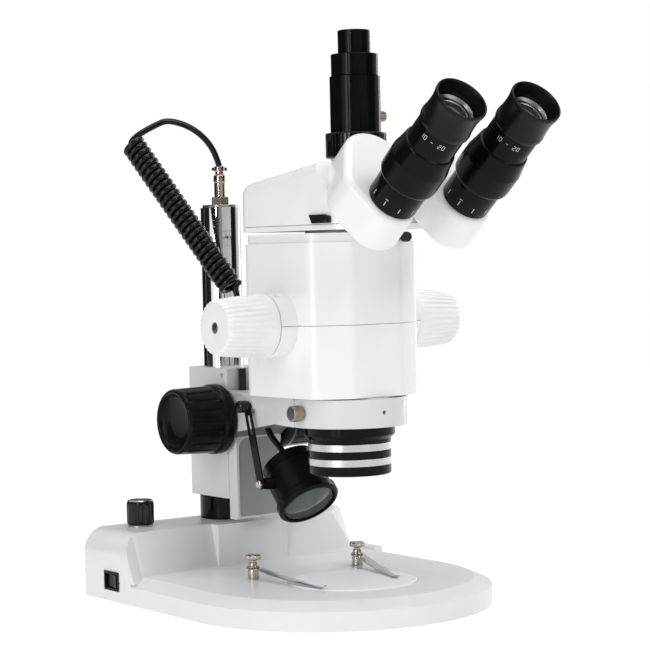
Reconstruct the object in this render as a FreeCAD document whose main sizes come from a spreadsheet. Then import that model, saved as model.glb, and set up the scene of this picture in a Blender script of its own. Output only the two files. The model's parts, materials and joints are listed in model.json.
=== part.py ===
"""Trinocular zoom stereo microscope on a pillar stand, with a lamp under the arm.

Frame, in millimetres: the origin is on the table, straight under the objective. +X is to the
user's right, +Y runs back to the pillar and +Z is up. Every size is an alias in the sheet D.
"""
import FreeCAD, Part
import math
import os
import re
import Sketcher

doc = FreeCAD.newDocument("StereoMicroscope")
sheet = doc.addObject("Spreadsheet::Sheet", "D")

DIMENSIONS = {
    # base casting
    "base_half_width": 121.0, "base_rear": 192.0, "base_arc_centre": 26.0, "base_bottom": 1.0,
    "stage_top": 21.0, "shoulder_width": 14.0, "shoulder_drop": 6.0, "base_wall": 3.5,
    "housing_top": 54.0, "housing_inner_foot": 133.0,
    "housing_outer_foot": 121.5, "housing_wall_foot": 116.0, "housing_inner_brow": 140.0,
    "housing_outer_brow": 136.5, "housing_wall_brow": 134.0, "housing_round": 18.0,
    "boss_half_width": 33.0, "boss_flare": 36.0, "boss_front": 133.0, "boss_top": 53.6,
    "socket_radius": 23.0, "cover_thick": 2.0, "cover_low": 3.0, "foot_radius": 9.0,
    "plate_radius": 48.5, "plate_thick": 3.0, "plate_ledge": 42.0, "plate_gap": 0.3,
    "plate_rise": 1.0,
    # pillar and what stands on it
    "pillar_back": 170.0, "pillar_radius": 16.0, "pillar_low": 8.0, "pillar_top": 305.8,
    "pillar_wall": 2.5, "cap_radius": 14.3, "cap_top": 308.0, "fit": 0.05,
    "collar_radius": 22.0, "collar_low": 54.3, "collar_top": 73.0,
    "nut_radius": 7.6, "nut_top": 314.4, "plug_radius": 4.5, "plug_top": 339.5,
    # focus block, rail, pinion and knobs
    "block_half_width": 21.5, "block_rear": 190.5, "block_front": 135.0, "block_low": 73.3,
    "block_top": 177.0, "rail_front": 127.0, "rail_wide": 14.0, "rail_narrow": 10.0,
    "rail_slot": 7.2, "tooth_module": 1.0, "pinion_teeth": 16.0, "pinion_width": 12.0,
    "pinion_back": 142.0, "pinion_high": 137.0, "shaft_radius": 5.0, "focus_knob_end": 67.5,
    "focus_knob_start": 24.5, "focus_flange_radius": 28.0, "focus_grip_radius": 26.5,
    # arm and ring
    "slide_rear": 133.5, "slide_front": 123.0, "slide_low": 57.5, "slide_half_width": 22.0,
    "arm_top": 159.5, "arm_root_low": 128.0, "arm_ring_low": 138.5, "ring_radius": 43.5,
    "ring_bore": 38.0, "ring_gap": 0.1, "ring_knob_high": 149.5, "ring_knob_radius": 6.0,
    "ring_knob_end": 53.2, "cable_hole_radius": 4.6, "cable_hole_back": 104.0,
    "cable_hole_side": -4.0,
    # lamp and its link
    "link_face": 32.0, "link_thick": 3.0, "link_width": 8.5, "link_back": 86.0,
    "link_high": 150.0, "tilt_back": 69.0, "tilt_high": 91.0, "lamp_lean": 138.0,
    "lamp_back_length": 21.0, "lamp_radius": 22.5, "lamp_bezel_radius": 24.7,
    "lamp_front_length": 23.4, "stub_radius": 4.8, "stub_end": 43.5,
    # zoom body
    "body_half_width": 50.0, "body_rear": 68.0, "body_side_front": -23.5, "body_front": -38.0,
    "body_low": 160.5, "body_seam": 214.0, "body_shoulder": 274.6, "body_top": 281.5,
    "body_inset": 2.0, "body_wall": 3.0, "body_round": 13.0, "seam_gap": 0.3,
    "zoom_back": 16.2, "zoom_high": 214.5, "zoom_collar_radius": 24.0, "zoom_collar_end": 64.0,
    "zoom_knob_start": 64.4, "zoom_knob_end": 107.2, "zoom_knob_big": 23.6,
    "zoom_knob_small": 20.1, "zoom_shaft_radius": 4.0, "channel_offset": 12.0,
    # objective
    "objective_low": 102.0, "objective_radius": 31.0, "objective_bore": 27.0,
    "objective_head_low": 130.0, "objective_head_radius": 34.3, "objective_top": 150.0,
    "band_low": 109.3, "band_second": 120.4, "band_height": 5.2,
    # head
    "head_base_low": 283.5, "head_seam": 287.3, "head_half_width": 51.5, "head_rear": 71.0,
    "head_rear_top": 319.0, "head_crown": 332.8, "head_wall": 3.0,
    "head_round": 10.0,
    "head_nose_half": 44.0,
    # photo tube
    "port_side": 12.0, "port_neck_radius": 19.0, "port_neck_top": 337.0,
    "port_ring_radius": 22.8, "port_ring_top": 356.0, "port_tube_radius": 18.9,
    "port_tube_top": 398.0, "port_collar_radius": 17.6, "port_collar_top": 414.7,
    "port_top_radius": 12.15, "port_top": 432.5, "port_bore": 9.5,
    # eyepieces and prism boxes
    "eye_offset": 33.0, "eye_front": -101.0, "eye_high": 302.6, "eye_lean": 50.3,
    "box_thick": 34.0, "box_gap": 0.5, "box_eye_radius": 20.8, "box_pivot_radius": 24.2,
    "box_pivot_in": 8.3, "box_pivot_up": 42.5, "box_round": 5.5,
    "diopter_radius": 18.5, "diopter_top": 21.5, "eye_collar_radius": 21.6,
    "eye_barrel_radius": 17.6, "eye_cup_radius": 19.2, "eye_top": 101.5,
    # stage clips
    "clip_side": 49.2, "clip_back": 59.5, "clip_reach": 84.0, "clip_high": 29.0,
    "clip_thick": 0.6, "left_clip_swing": 4.9, "right_clip_swing": -15.5, "clip_half_width": 4.5, "post_radius": 4.3, "post_top": 39.6,
    # switch, dimmer, inlet
    "switch_back": 150.0, "switch_high": 16.8, "switch_length": 22.0, "switch_height": 15.0,
    "dimmer_side": -81.0, "dimmer_back": 172.0, "dimmer_radius": 10.8, "dimmer_top": 74.6,
    "inlet_side": 50.0, "inlet_high": 24.0, "inlet_width": 28.0, "inlet_height": 21.0,
    # lamp cord
    "cord_radius": 2.5, "coil_radius": 10.0,
}

PARTS = {}


def fill_sheet():
    for row, (alias, size) in enumerate(DIMENSIONS.items(), start=1):
        sheet.set(f"A{row}", alias)
        sheet.set(f"B{row}", str(size))
        sheet.setAlias(f"B{row}", alias)
    doc.recompute()


def bound(text):
    """The expression with each alias read from the sheet."""
    return re.sub(r"[a-z_]+", lambda m: f"D.{m[0]}" if m[0] in DIMENSIONS else m[0], text)


def value(text):
    return float(sheet.evalExpression(bound(text)))


X_AXIS = FreeCAD.Vector(1, 0, 0)
Y_AXIS = FreeCAD.Vector(0, 1, 0)
Z_AXIS = FreeCAD.Vector(0, 0, 1)
UPRIGHT = (X_AXIS, "0")
TO_RIGHT = (Y_AXIS, "90")
TO_LEFT = (Y_AXIS, "-90")
TO_FRONT = (X_AXIS, "90")
LEFT_AND_RIGHT = (("left", -1), ("right", 1))


def place(item, at, turn=UPRIGHT):
    """Sets an object's Placement and binds it to the sheet."""
    spot = FreeCAD.Vector(*[value(text) for text in at])
    item.Placement = FreeCAD.Placement(spot, FreeCAD.Rotation(turn[0], value(turn[1])))
    for letter, text in zip("xyz", at):
        item.setExpression(f"Placement.Base.{letter}", bound(text))
    if turn[1] != "0":
        item.setExpression("Placement.Rotation.Angle", bound(turn[1]))


def keep(item, name):
    """Makes the object a named sub-part."""
    item.Label = name
    PARTS[name] = item
    return item


def new_body(name, at=("0", "0", "0"), turn=UPRIGHT):
    body = doc.addObject("PartDesign::Body", name)
    place(body, at, turn)
    return body


def new_sketch(body, role):
    sketch = body.newObject("Sketcher::SketchObject", f"{body.Name}_sketch")
    plane = [item for item in body.Origin.OriginFeatures if item.Role == role][0]
    sketch.AttachmentSupport = (plane, [""])
    sketch.MapMode = "FlatFace"
    return sketch


def fix_point(sketch, edge, corner, point):
    """Holds one corner of a sketch edge at a point given as two expressions."""
    for kind, axis, text in (("DistanceX", -2, point[0]), ("DistanceY", -1, point[1])):
        size = value(text)
        if abs(size) < 1e-9:
            sketch.addConstraint(Sketcher.Constraint("PointOnObject", edge, corner, axis))
        else:
            index = sketch.addConstraint(Sketcher.Constraint(kind, -1, 1, edge, corner, size))
            sketch.setExpression(f"Constraints[{index}]", bound(text))


def draw_polygon(sketch, points):
    """A closed outline whose corners are pairs of expressions."""
    corners = [FreeCAD.Vector(value(a), value(b), 0) for a, b in points]
    first = sketch.GeometryCount
    count = len(corners)
    for i, corner in enumerate(corners):
        sketch.addGeometry(Part.LineSegment(corner, corners[(i + 1) % count]), False)
    for i in range(count):
        after = first + (i + 1) % count
        sketch.addConstraint(Sketcher.Constraint("Coincident", first + i, 2, after, 1))
    for i, point in enumerate(points):
        fix_point(sketch, first + i, 1, point)


def draw_d_outline(sketch, half_width, rear, arc_centre):
    """Straight sides and back, and a half-round front that joins the sides smoothly."""
    half, back, centre = value(half_width), value(rear), value(arc_centre)
    corners = [(-half, centre), (-half, back), (half, back), (half, centre)]
    vectors = [FreeCAD.Vector(a, b, 0) for a, b in corners]
    for start, end in zip(vectors, vectors[1:]):
        sketch.addGeometry(Part.LineSegment(start, end), False)
    circle = Part.Circle(FreeCAD.Vector(0, centre, 0), Z_AXIS, half)
    sketch.addGeometry(Part.ArcOfCircle(circle, math.pi, 2 * math.pi), False)
    for pair in ((0, 2, 1, 1), (1, 2, 2, 1), (3, 1, 0, 1), (3, 2, 2, 2)):
        sketch.addConstraint(Sketcher.Constraint("Coincident", *pair))
    fix_point(sketch, 0, 1, (f"-({half_width})", arc_centre))
    fix_point(sketch, 1, 1, (f"-({half_width})", rear))
    fix_point(sketch, 1, 2, (half_width, rear))
    fix_point(sketch, 2, 2, (half_width, arc_centre))
    index = sketch.addConstraint(Sketcher.Constraint("DistanceY", -1, 1, 3, 3, centre))
    sketch.setExpression(f"Constraints[{index}]", bound(arc_centre))


def add_pad(body, sketch, length, midplane=False, reverse=False):
    pad = body.newObject("PartDesign::Pad", f"{body.Name}_pad")
    pad.Profile = sketch
    pad.Length = value(length)
    pad.setExpression("Length", bound(length))
    pad.Midplane = midplane
    pad.Reversed = reverse
    doc.recompute()
    return pad


def turned(name, profile, at, turn=UPRIGHT):
    """A lathe-turned body: profile lists radius and height pairs about the local Z axis."""
    body = new_body(name, at, turn)
    sketch = new_sketch(body, "XZ_Plane")
    draw_polygon(sketch, profile)
    spin = body.newObject("PartDesign::Revolution", f"{name}_turned")
    spin.Profile = sketch
    spin.ReferenceAxis = (sketch, ["V_Axis"])
    spin.Angle = 360
    doc.recompute()
    return body


def rod(radius, low, high):
    """Profile of a solid cylinder."""
    return [("0", low), (radius, low), (radius, high), ("0", high)]


def pipe(bore, radius, low, high):
    """Profile of a tube."""
    return [(bore, low), (radius, low), (radius, high), (bore, high)]


def slab(name, outline, thick, role="XY_Plane", at=("0", "0", "0"), turn=UPRIGHT, midplane=False):
    """A polygon outline given a thickness. Pads on YZ grow along +X, on XZ along -Y."""
    body = new_body(name, at, turn)
    sketch = new_sketch(body, role)
    draw_polygon(sketch, outline)
    add_pad(body, sketch, thick, midplane)
    return body


def block(name, low, high):
    """A box between two corners."""
    outline = [(low[0], low[1]), (high[0], low[1]), (high[0], high[1]), (low[0], high[1])]
    return slab(name, outline, f"({high[2]}) - ({low[2]})", at=("0", "0", low[2]))


def round_edges(body, radius, wanted):
    """Rounds the edges of the body's tip that the test picks."""
    tip = body.Tip
    names = [f"Edge{i + 1}" for i, edge in enumerate(tip.Shape.Edges) if wanted(edge)]
    fillet = body.newObject("PartDesign::Fillet", f"{body.Name}_round")
    fillet.Base = (tip, names)
    fillet.Radius = value(radius)
    fillet.setExpression("Radius", bound(radius))
    doc.recompute()


def is_upright(edge):
    low, high = edge.BoundBox.ZMin, edge.BoundBox.ZMax
    return high - low > 1 and edge.BoundBox.XLength < 1e-6 and edge.BoundBox.YLength < 1e-6


def cut(name, item, tools):
    result = doc.addObject("Part::Cut", name)
    result.Base = item
    if len(tools) == 1:
        result.Tool = tools[0]
    else:
        result.Tool = fuse(f"{name}_tools", tools)
    doc.recompute()
    return result


def fuse(name, items):
    result = doc.addObject("Part::MultiFuse", name)
    result.Shapes = items
    doc.recompute()
    return result


def group(name, items):
    """Separate solids that share one node."""
    result = doc.addObject("Part::Compound", name)
    result.Links = items
    doc.recompute()
    return result


def made(name, shape, at=("0", "0", "0"), turn=UPRIGHT):
    """A sub-part whose shape comes from Part's own functions, with sizes read from the sheet."""
    item = doc.addObject("Part::Feature", name)
    item.Shape = shape
    place(item, at, turn)
    return item


# ---------------------------------------------------------------- base


def d_slab(name, half_width, rear, low, high):
    body = new_body(name, ("0", "0", low))
    sketch = new_sketch(body, "XY_Plane")
    draw_d_outline(sketch, half_width, rear, "base_arc_centre")
    add_pad(body, sketch, f"({high}) - ({low})")
    return body


def loose_sketch(name, points, height):
    """A polygon on a level plane, outside any body."""
    sketch = doc.addObject("Sketcher::SketchObject", name)
    place(sketch, ("0", "0", height))
    draw_polygon(sketch, points)
    doc.recompute()
    return sketch


def rear_housing():
    """Housing behind the stage: its front panels lean back and sweep forward to the left wall."""
    half = "base_half_width"
    foot = [
        (f"-{half}", "base_rear"), (f"-{half}", "housing_wall_foot"),
        ("-110", "housing_outer_foot"), ("-boss_half_width - 1", "housing_inner_foot"),
        ("boss_half_width + 1", "housing_inner_foot"), ("97", "housing_outer_foot + 2"),
        (half, "housing_outer_foot + 42"), (half, "base_rear"),
    ]
    brow = [
        (f"-{half}", "base_rear"), (f"-{half}", "housing_wall_brow"),
        ("-110", "housing_outer_brow"), ("-boss_half_width - 1", "housing_inner_brow"),
        ("boss_half_width + 1", "housing_inner_brow"), ("80", "housing_outer_brow"),
        (f"{half} - 8", "housing_outer_brow + 34"), (f"{half} - 8", "base_rear"),
    ]
    loft = doc.addObject("Part::Loft", "housing_loft")
    loft.Sections = [loose_sketch("housing_foot_line", foot, "stage_top - 4"),
                     loose_sketch("housing_brow_line", brow, "housing_top")]
    loft.Solid = True
    loft.Ruled = True
    doc.recompute()
    limits = block("housing_limits", (f"-{half}", "100", "0"), (half, "base_rear", "housing_top"))
    tall = value("housing_top")

    def top_sides(edge):
        box = edge.BoundBox
        return box.ZMin > tall - 0.01 and box.XLength < 1e-6

    round_edges(limits, "housing_round", top_sides)
    both = doc.addObject("Part::Common", "housing_shaped")
    both.Base = loft
    both.Tool = limits
    doc.recompute()
    return both


def base_outer():
    """Stage with its sloped shoulder, the rear housing and the boss under the pillar."""
    stage = d_slab("stage", "base_half_width", "base_rear", "base_bottom", "stage_top")
    tip = stage.Tip
    rear = value("base_rear")
    height = value("stage_top - base_bottom")
    rim = [
        f"Edge{i + 1}" for i, edge in enumerate(tip.Shape.Edges)
        if edge.BoundBox.ZMin > height - 0.01 and edge.BoundBox.YMin < rear - 0.01
    ]
    shoulder = stage.newObject("PartDesign::Chamfer", "stage_shoulder")
    shoulder.Base = (tip, rim)
    shoulder.ChamferType = "Two distances"
    shoulder.FlipDirection = False
    shoulder.Size = value("shoulder_drop")
    shoulder.Size2 = value("shoulder_width")
    shoulder.setExpression("Size", bound("shoulder_drop"))
    shoulder.setExpression("Size2", bound("shoulder_width"))
    doc.recompute()
    housing = rear_housing()
    plan = [
        ("-boss_flare", "housing_inner_brow + 2"), ("-boss_half_width", "boss_front"),
        ("boss_half_width", "boss_front"), ("boss_flare", "housing_inner_brow + 2"),
    ]
    boss = slab("boss", plan, "boss_top - stage_top + 2", at=("0", "0", "stage_top - 2"))
    return fuse("base_outer", [stage, housing, boss])


def base_cavity():
    """The space inside the base casting, open underneath."""
    inner = "base_half_width - base_wall"
    low = d_slab("low_cavity", inner, "base_rear - base_wall", "base_bottom - 1",
                 "stage_top - shoulder_drop - base_wall")
    high = d_slab("high_cavity", "base_half_width - shoulder_width - base_wall",
                  "housing_outer_foot", "base_bottom - 1", "stage_top - base_wall")
    rear = block("rear_cavity", ("-base_half_width + housing_round", "housing_inner_brow + 4",
                                 "base_bottom"),
                 ("74", "base_rear - base_wall", "housing_top - base_wall"))
    return fuse("base_cavity", [low, high, rear])


def base_shell():
    shell = cut("base_hollow", base_outer(), [base_cavity()])
    pillar_at = ("0", "pillar_back", "0")
    socket = turned("pillar_socket", rod("socket_radius", "pillar_low - 2", "housing_top - 2"),
                    pillar_at)
    ledge = turned("plate_seat", rod("plate_radius + 3", "stage_top - plate_thick - 4",
                                     "stage_top - 1"), ("0", "0", "0"))
    solid = fuse("base_solid", [shell, socket, ledge])
    bores = [
        turned("pillar_bore", rod("pillar_radius", "pillar_low", "housing_top + 5"), pillar_at),
        turned("plate_recess", rod("plate_radius + plate_gap", "stage_top - plate_thick",
                                   "stage_top + 5"), ("0", "0", "0")),
        turned("plate_hole", rod("plate_ledge", "0", "stage_top"), ("0", "0", "0")),
        turned("dimmer_hole", rod("4.5", "housing_top - 10", "housing_top + 5"),
               ("dimmer_side", "dimmer_back", "0")),
        block("switch_hole",
              ("-base_half_width - 1", "switch_back - switch_length / 2 + 1",
               "switch_high - switch_height / 2 + 1"),
              ("-base_half_width + 12", "switch_back + switch_length / 2 - 1",
               "switch_high + switch_height / 2 - 1")),
        block("inlet_hole",
              ("inlet_side - inlet_width / 2", "base_rear - 8", "inlet_high - inlet_height / 2"),
              ("inlet_side + inlet_width / 2", "base_rear + 1", "inlet_high + inlet_height / 2")),
    ]
    for side, sign in LEFT_AND_RIGHT:
        bores.append(turned(f"post_hole_{side}", rod("2", "0", "stage_top + 5"),
                            (f"{sign} * clip_side", "clip_back", "0")))
    keep(cut("base_shell", solid, bores), "base_shell")


def base_fittings():
    cover = d_slab("cover_plate", "base_half_width - base_wall - 0.4",
                   "base_rear - base_wall - 0.4", "cover_low", "cover_low + cover_thick")
    keep(cover, "base_cover")
    feet = []
    for spot in (("-100", "172"), ("100", "172"), ("-78", "-18"), ("78", "-18")):
        name = f"foot_{len(feet) + 1}"
        feet.append(turned(name, [("0", "0"), ("foot_radius - 1", "0"), ("foot_radius", "1"),
                                  ("foot_radius", "cover_low"), ("0", "cover_low")],
                           (spot[0], spot[1], "0")))
    keep(group("rubber_feet", feet), "rubber_feet")
    disc = [
        ("0", "stage_top - plate_thick"), ("plate_radius", "stage_top - plate_thick"),
        ("plate_radius", "stage_top + plate_rise - 0.6"),
        ("plate_radius - 0.6", "stage_top + plate_rise"), ("0", "stage_top + plate_rise"),
    ]
    plate = turned("stage_plate", disc, ("0", "0", "0"))
    keep(plate, "stage_plate")


def mains_inlet():
    half = "inlet_width / 2"
    tall = "inlet_height / 2"
    outer = block("inlet_box",
                  (f"inlet_side - {half} + 0.1", "base_rear - 22", f"inlet_high - {tall} + 0.1"),
                  (f"inlet_side + {half} - 0.1", "base_rear", f"inlet_high + {tall} - 0.1"))
    well = block("inlet_well",
                 (f"inlet_side - {half} + 2.5", "base_rear - 16", f"inlet_high - {tall} + 2.5"),
                 (f"inlet_side + {half} - 2.5", "base_rear + 1", f"inlet_high + {tall} - 2.5"))
    hollow = cut("inlet_hollow", outer, [well])
    pins = []
    for offset in ("-7", "0", "7"):
        name = f"inlet_pin_{len(pins) + 1}"
        pins.append(block(name, (f"inlet_side + {offset} - 1", "base_rear - 17", "inlet_high - 2"),
                          (f"inlet_side + {offset} + 1", "base_rear - 4", "inlet_high + 2")))
    keep(fuse("mains_inlet", [hollow] + pins), "mains_inlet")


def power_switch():
    """A rocker in its frame, in the left wall, drawn with the back half pressed in."""
    long_half = "switch_length / 2"
    tall_half = "switch_height / 2"
    face = "-base_half_width"
    flange = block("switch_flange",
                   (f"{face} - 0.9", f"switch_back - {long_half}", f"switch_high - {tall_half}"),
                   (face, f"switch_back + {long_half}", f"switch_high + {tall_half}"))
    inside = block("switch_case",
                   (face, f"switch_back - {long_half} + 1.1", f"switch_high - {tall_half} + 1.1"),
                   (f"{face} + 12", f"switch_back + {long_half} - 1.1",
                    f"switch_high + {tall_half} - 1.1"))
    window = block("switch_window",
                   (f"{face} - 2", f"switch_back - {long_half} + 2.2",
                    f"switch_high - {tall_half} + 2.2"),
                   (f"{face} + 9", f"switch_back + {long_half} - 2.2",
                    f"switch_high + {tall_half} - 2.2"))
    keep(cut("switch_bezel", fuse("switch_case_whole", [flange, inside]), [window]),
         "switch_bezel")
    plan = [
        (f"{face} + 6", "switch_back - 5"), (f"{face} + 6", "switch_back + 5"),
        (f"{face} + 1", f"switch_back + {long_half} - 3.4"), (f"{face} + 0.4", "switch_back"),
        (f"{face} - 1.2", f"switch_back - {long_half} + 3.4"),
    ]
    rocker = slab("rocker", plan, "switch_height - 5", at=("0", "0", f"switch_high - {tall_half} + 2.5"))
    keep(rocker, "switch_rocker")


def dimmer():
    at = ("dimmer_side", "dimmer_back", "0")
    control = [
        ("3.05", "housing_top - 16"), ("8", "housing_top - 16"),
        ("8", "housing_top - base_wall"), ("4.4", "housing_top - base_wall"),
        ("4.4", "housing_top"), ("9.6", "housing_top"), ("9.6", "housing_top + 0.9"),
        ("6.4", "housing_top + 0.9"), ("6.4", "housing_top + 2.4"), ("3.05", "housing_top + 2.4"),
    ]
    works = turned("potentiometer", control, at)
    board = block("board", ("-96", "150", "housing_top - 17.6"), ("-28", "186", "housing_top - 15.8"))
    coil = block("transformer", ("-62", "152", "housing_top - 36"),
                 ("-36", "178", "housing_top - 17.5"))
    way = turned("board_way", rod("3.05", "housing_top - 20", "housing_top - 10"), at)
    keep(cut("dimmer_board", fuse("board_whole", [works, board, coil]), [way]), "dimmer_board")
    knob = [
        ("0", "housing_top - 12"), ("3", "housing_top - 12"), ("3", "housing_top + 4"),
        ("7.4", "housing_top + 4"), ("7.4", "housing_top + 1.3"),
        ("dimmer_radius", "housing_top + 1.3"), ("dimmer_radius", "dimmer_top - 1.2"),
        ("dimmer_radius - 1.2", "dimmer_top"), ("0", "dimmer_top"),
    ]
    keep(turned("dimmer_knob", knob, at), "dimmer_knob")


# ---------------------------------------------------------------- stage clips


def stage_clips():
    posts = []
    neck = "clip_high - 0.9"
    after = "clip_high + clip_thick + 0.3"
    post = [
        ("0", "stage_top - 8"), ("2", "stage_top - 8"), ("2", "stage_top"),
        ("post_radius", "stage_top"), ("post_radius", neck), ("3", neck), ("3", after),
        ("4.7", after), ("4.7", f"{after} + 1.4"), ("3.4", f"{after} + 1.4"),
        ("3.4", "post_top - 3.6"), ("5.8", "post_top - 3.2"), ("5.8", "post_top - 0.5"),
        ("5.2", "post_top"), ("0", "post_top"),
    ]
    for side, sign in LEFT_AND_RIGHT:
        at = (f"{sign} * clip_side", "clip_back", "0")
        swing = (Z_AXIS, f"{side}_clip_swing")
        posts.append(turned(f"post_{side}", post, at))
        blade = [
            ("0", "clip_high"), ("-clip_reach * 0.5", "clip_high - 4.4"),
            ("-clip_reach * 0.93", "stage_top + plate_rise + 0.4"),
            ("-clip_reach", "stage_top + plate_rise + 2.2"),
            ("-clip_reach", "stage_top + plate_rise + 2.9"),
            ("-clip_reach * 0.93", "stage_top + plate_rise + 0.4 + clip_thick"),
            ("-clip_reach * 0.5", "clip_high - 4.4 + clip_thick"), ("0", "clip_high + clip_thick"),
        ]
        spring = slab(f"blade_{side}", blade, "2 * clip_half_width", "YZ_Plane", at, swing,
                      midplane=True)
        eye = turned(f"eye_{side}", rod("6.2", "clip_high", "clip_high + clip_thick"), at)
        hole = turned(f"eye_hole_{side}", rod("3.05", "clip_high - 3", "clip_high + 3"), at)
        whole = fuse(f"clip_{side}_whole", [spring, eye])
        keep(cut(f"clip_{side}", whole, [hole]), f"{side}_stage_clip")
    keep(group("clip_posts", posts), "clip_posts")


# ---------------------------------------------------------------- pillar


def pillar():
    at = ("0", "pillar_back", "0")
    keep(turned("pillar", pipe("pillar_radius - pillar_wall", "pillar_radius", "pillar_low",
                               "pillar_top"), at), "pillar")
    cap = [
        ("3", "pillar_top - 10"), ("pillar_radius - pillar_wall - 0.1", "pillar_top - 10"),
        ("pillar_radius - pillar_wall - 0.1", "pillar_top"), ("cap_radius", "pillar_top"),
        ("cap_radius", "cap_top"), ("3", "cap_top"),
    ]
    keep(turned("pillar_cap", cap, at), "pillar_cap")
    collar = pipe("pillar_radius + fit", "collar_radius", "collar_low", "collar_top")
    keep(turned("stop_collar", collar, at), "stop_collar")


def lamp_connector():
    """Hexagonal socket nut in the cap, and the plug with its cable clamp on top."""
    nut_body = new_body("nut_body", ("0", "pillar_back", "cap_top"))
    sketch = new_sketch(nut_body, "XY_Plane")
    corners = []
    for i in range(6):
        across = math.cos(math.radians(60 * i))
        along = math.sin(math.radians(60 * i))
        corners.append((f"nut_radius * {across:.6f}", f"nut_radius * {along:.6f}"))
    draw_polygon(sketch, corners)
    add_pad(nut_body, sketch, "nut_top - cap_top")
    at = ("0", "pillar_back", "0")
    thread = turned("socket_thread", rod("2.9", "cap_top - 14", "cap_top"), at)
    keep(fuse("lamp_socket", [nut_body, thread]), "lamp_socket")
    top = "plug_top"
    plug = [
        ("0", "nut_top"), ("plug_radius", "nut_top"), ("plug_radius", f"{top} - 13.5"),
        ("plug_radius + 0.4", f"{top} - 13"), ("plug_radius + 0.4", f"{top} - 8"),
        ("3.4", f"{top} - 6.6"), ("3.4", f"{top} - 4.4"), ("4.2", f"{top} - 4.2"),
        ("4.2", f"{top} - 0.6"), ("3.2", top), ("0", top),
    ]
    barrel = turned("plug_barrel", plug, at)
    ears = block("plug_ears", ("-5.9", "pillar_back - 2.2", f"{top} - 3.8"),
                 ("5.9", "pillar_back + 2.2", f"{top} - 1.2"))
    keep(fuse("lamp_plug", [barrel, ears]), "lamp_plug")


# ---------------------------------------------------------------- focus block


def focus_block():
    body = block("focus_casting", ("-block_half_width", "block_front", "block_low"),
                 ("block_half_width", "block_rear", "block_top"))
    round_edges(body, "2", is_upright)
    at = ("0", "pillar_back", "0")
    bores = [
        turned("block_bore", rod("pillar_radius + fit", "block_low - 1", "block_top + 1"), at),
        turned("shaft_bore", rod("shaft_radius + fit", "-block_half_width - 1",
                                 "block_half_width + 1"),
               ("0", "pinion_back", "pinion_high"), TO_RIGHT),
        block("pinion_room", ("-pinion_width / 2 - 1", "block_front - 1", "pinion_high - 10"),
              ("pinion_width / 2 + 1", "pinion_back + 10", "pinion_high + 10")),
        block("rack_room", ("-rail_slot", "block_front - 1", "block_low - 1"),
              ("rail_slot", "block_front + 1", "block_top + 1")),
        turned("gib_screw_hole", rod("1.6", "0", "8"),
               ("-block_half_width - 1", "block_front + 5.5", "block_top - 5.5"), TO_RIGHT),
        block("clamp_slit", ("-1", "pillar_back", "block_low - 1"),
              ("1", "block_rear + 1", "block_top + 1")),
    ]
    keep(cut("focus_block", body, bores), "focus_block")
    rails = []
    for side, sign in LEFT_AND_RIGHT:
        outline = [
            (f"{sign} * rail_slot", "block_front"), (f"{sign} * rail_slot", "rail_front"),
            (f"{sign} * rail_wide", "rail_front"), (f"{sign} * rail_narrow", "block_front"),
        ]
        rails.append(slab(f"rail_{side}", outline, "block_top - block_low",
                          at=("0", "0", "block_low")))
    keep(group("dovetail_rails", rails), "dovetail_rails")


def gear_outline(teeth, module):
    """Corners of a straight-flanked spur gear about the origin, a gap facing along +Y."""
    pitch = teeth * module / 2
    corners = []
    for i in range(teeth):
        middle = math.pi / 2 + 2 * math.pi * (i + 0.5) / teeth
        for radius, half in ((pitch - 1.2 * module, 0.96), (pitch + 0.85 * module, 0.42)):
            corners.append((radius, middle - half * module / radius))
        for radius, half in ((pitch + 0.85 * module, 0.42), (pitch - 1.2 * module, 0.96)):
            corners.append((radius, middle + half * module / radius))
    return [FreeCAD.Vector(r * math.cos(a), r * math.sin(a), 0) for r, a in corners]


def pinion():
    """Pinion shaft along X, with an even number of teeth and a gap for the rack's tooth in front."""
    teeth = int(value("pinion_teeth"))
    width = value("pinion_width")
    corners = gear_outline(teeth, value("tooth_module"))
    face = Part.Face(Part.makePolygon(corners + corners[:1]))
    gear = face.extrude(FreeCAD.Vector(0, 0, width))
    gear.translate(FreeCAD.Vector(0, 0, -width / 2))
    reach = value("focus_knob_end") - 12
    shaft = Part.makeCylinder(value("shaft_radius"), 2 * reach, FreeCAD.Vector(0, 0, -reach))
    keep(made("pinion_shaft", gear.fuse(shaft), ("0", "pinion_back", "pinion_high"), TO_RIGHT),
         "pinion_shaft")


def rack():
    """Straight rack on the arm's slide, its teeth pointing back at the pinion."""
    module = value("tooth_module")
    pitch_line = value("pinion_back") - value("pinion_teeth") * module / 2
    tip = pitch_line + 0.85 * module
    root = pitch_line - 1.2 * module
    step = math.pi * module
    low = value("pinion_high") - 19.5 * step
    high = value("pinion_high") + 3.5 * step
    floor = value("rail_front") - 0.3
    points = [(floor, low), (root, low)]
    count = round((high - low) / step)
    for i in range(count):
        middle = low + (i + 0.5) * step
        points += [(root, middle - 0.96 * module), (tip, middle - 0.42 * module),
                   (tip, middle + 0.42 * module), (root, middle + 0.96 * module)]
    points += [(root, high), (floor, high)]
    half = value("rail_slot") - 1.2
    corners = [FreeCAD.Vector(-half, y, z) for y, z in points]
    face = Part.Face(Part.makePolygon(corners + corners[:1]))
    keep(made("focus_rack", face.extrude(FreeCAD.Vector(2 * half, 0, 0))), "focus_rack")


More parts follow.
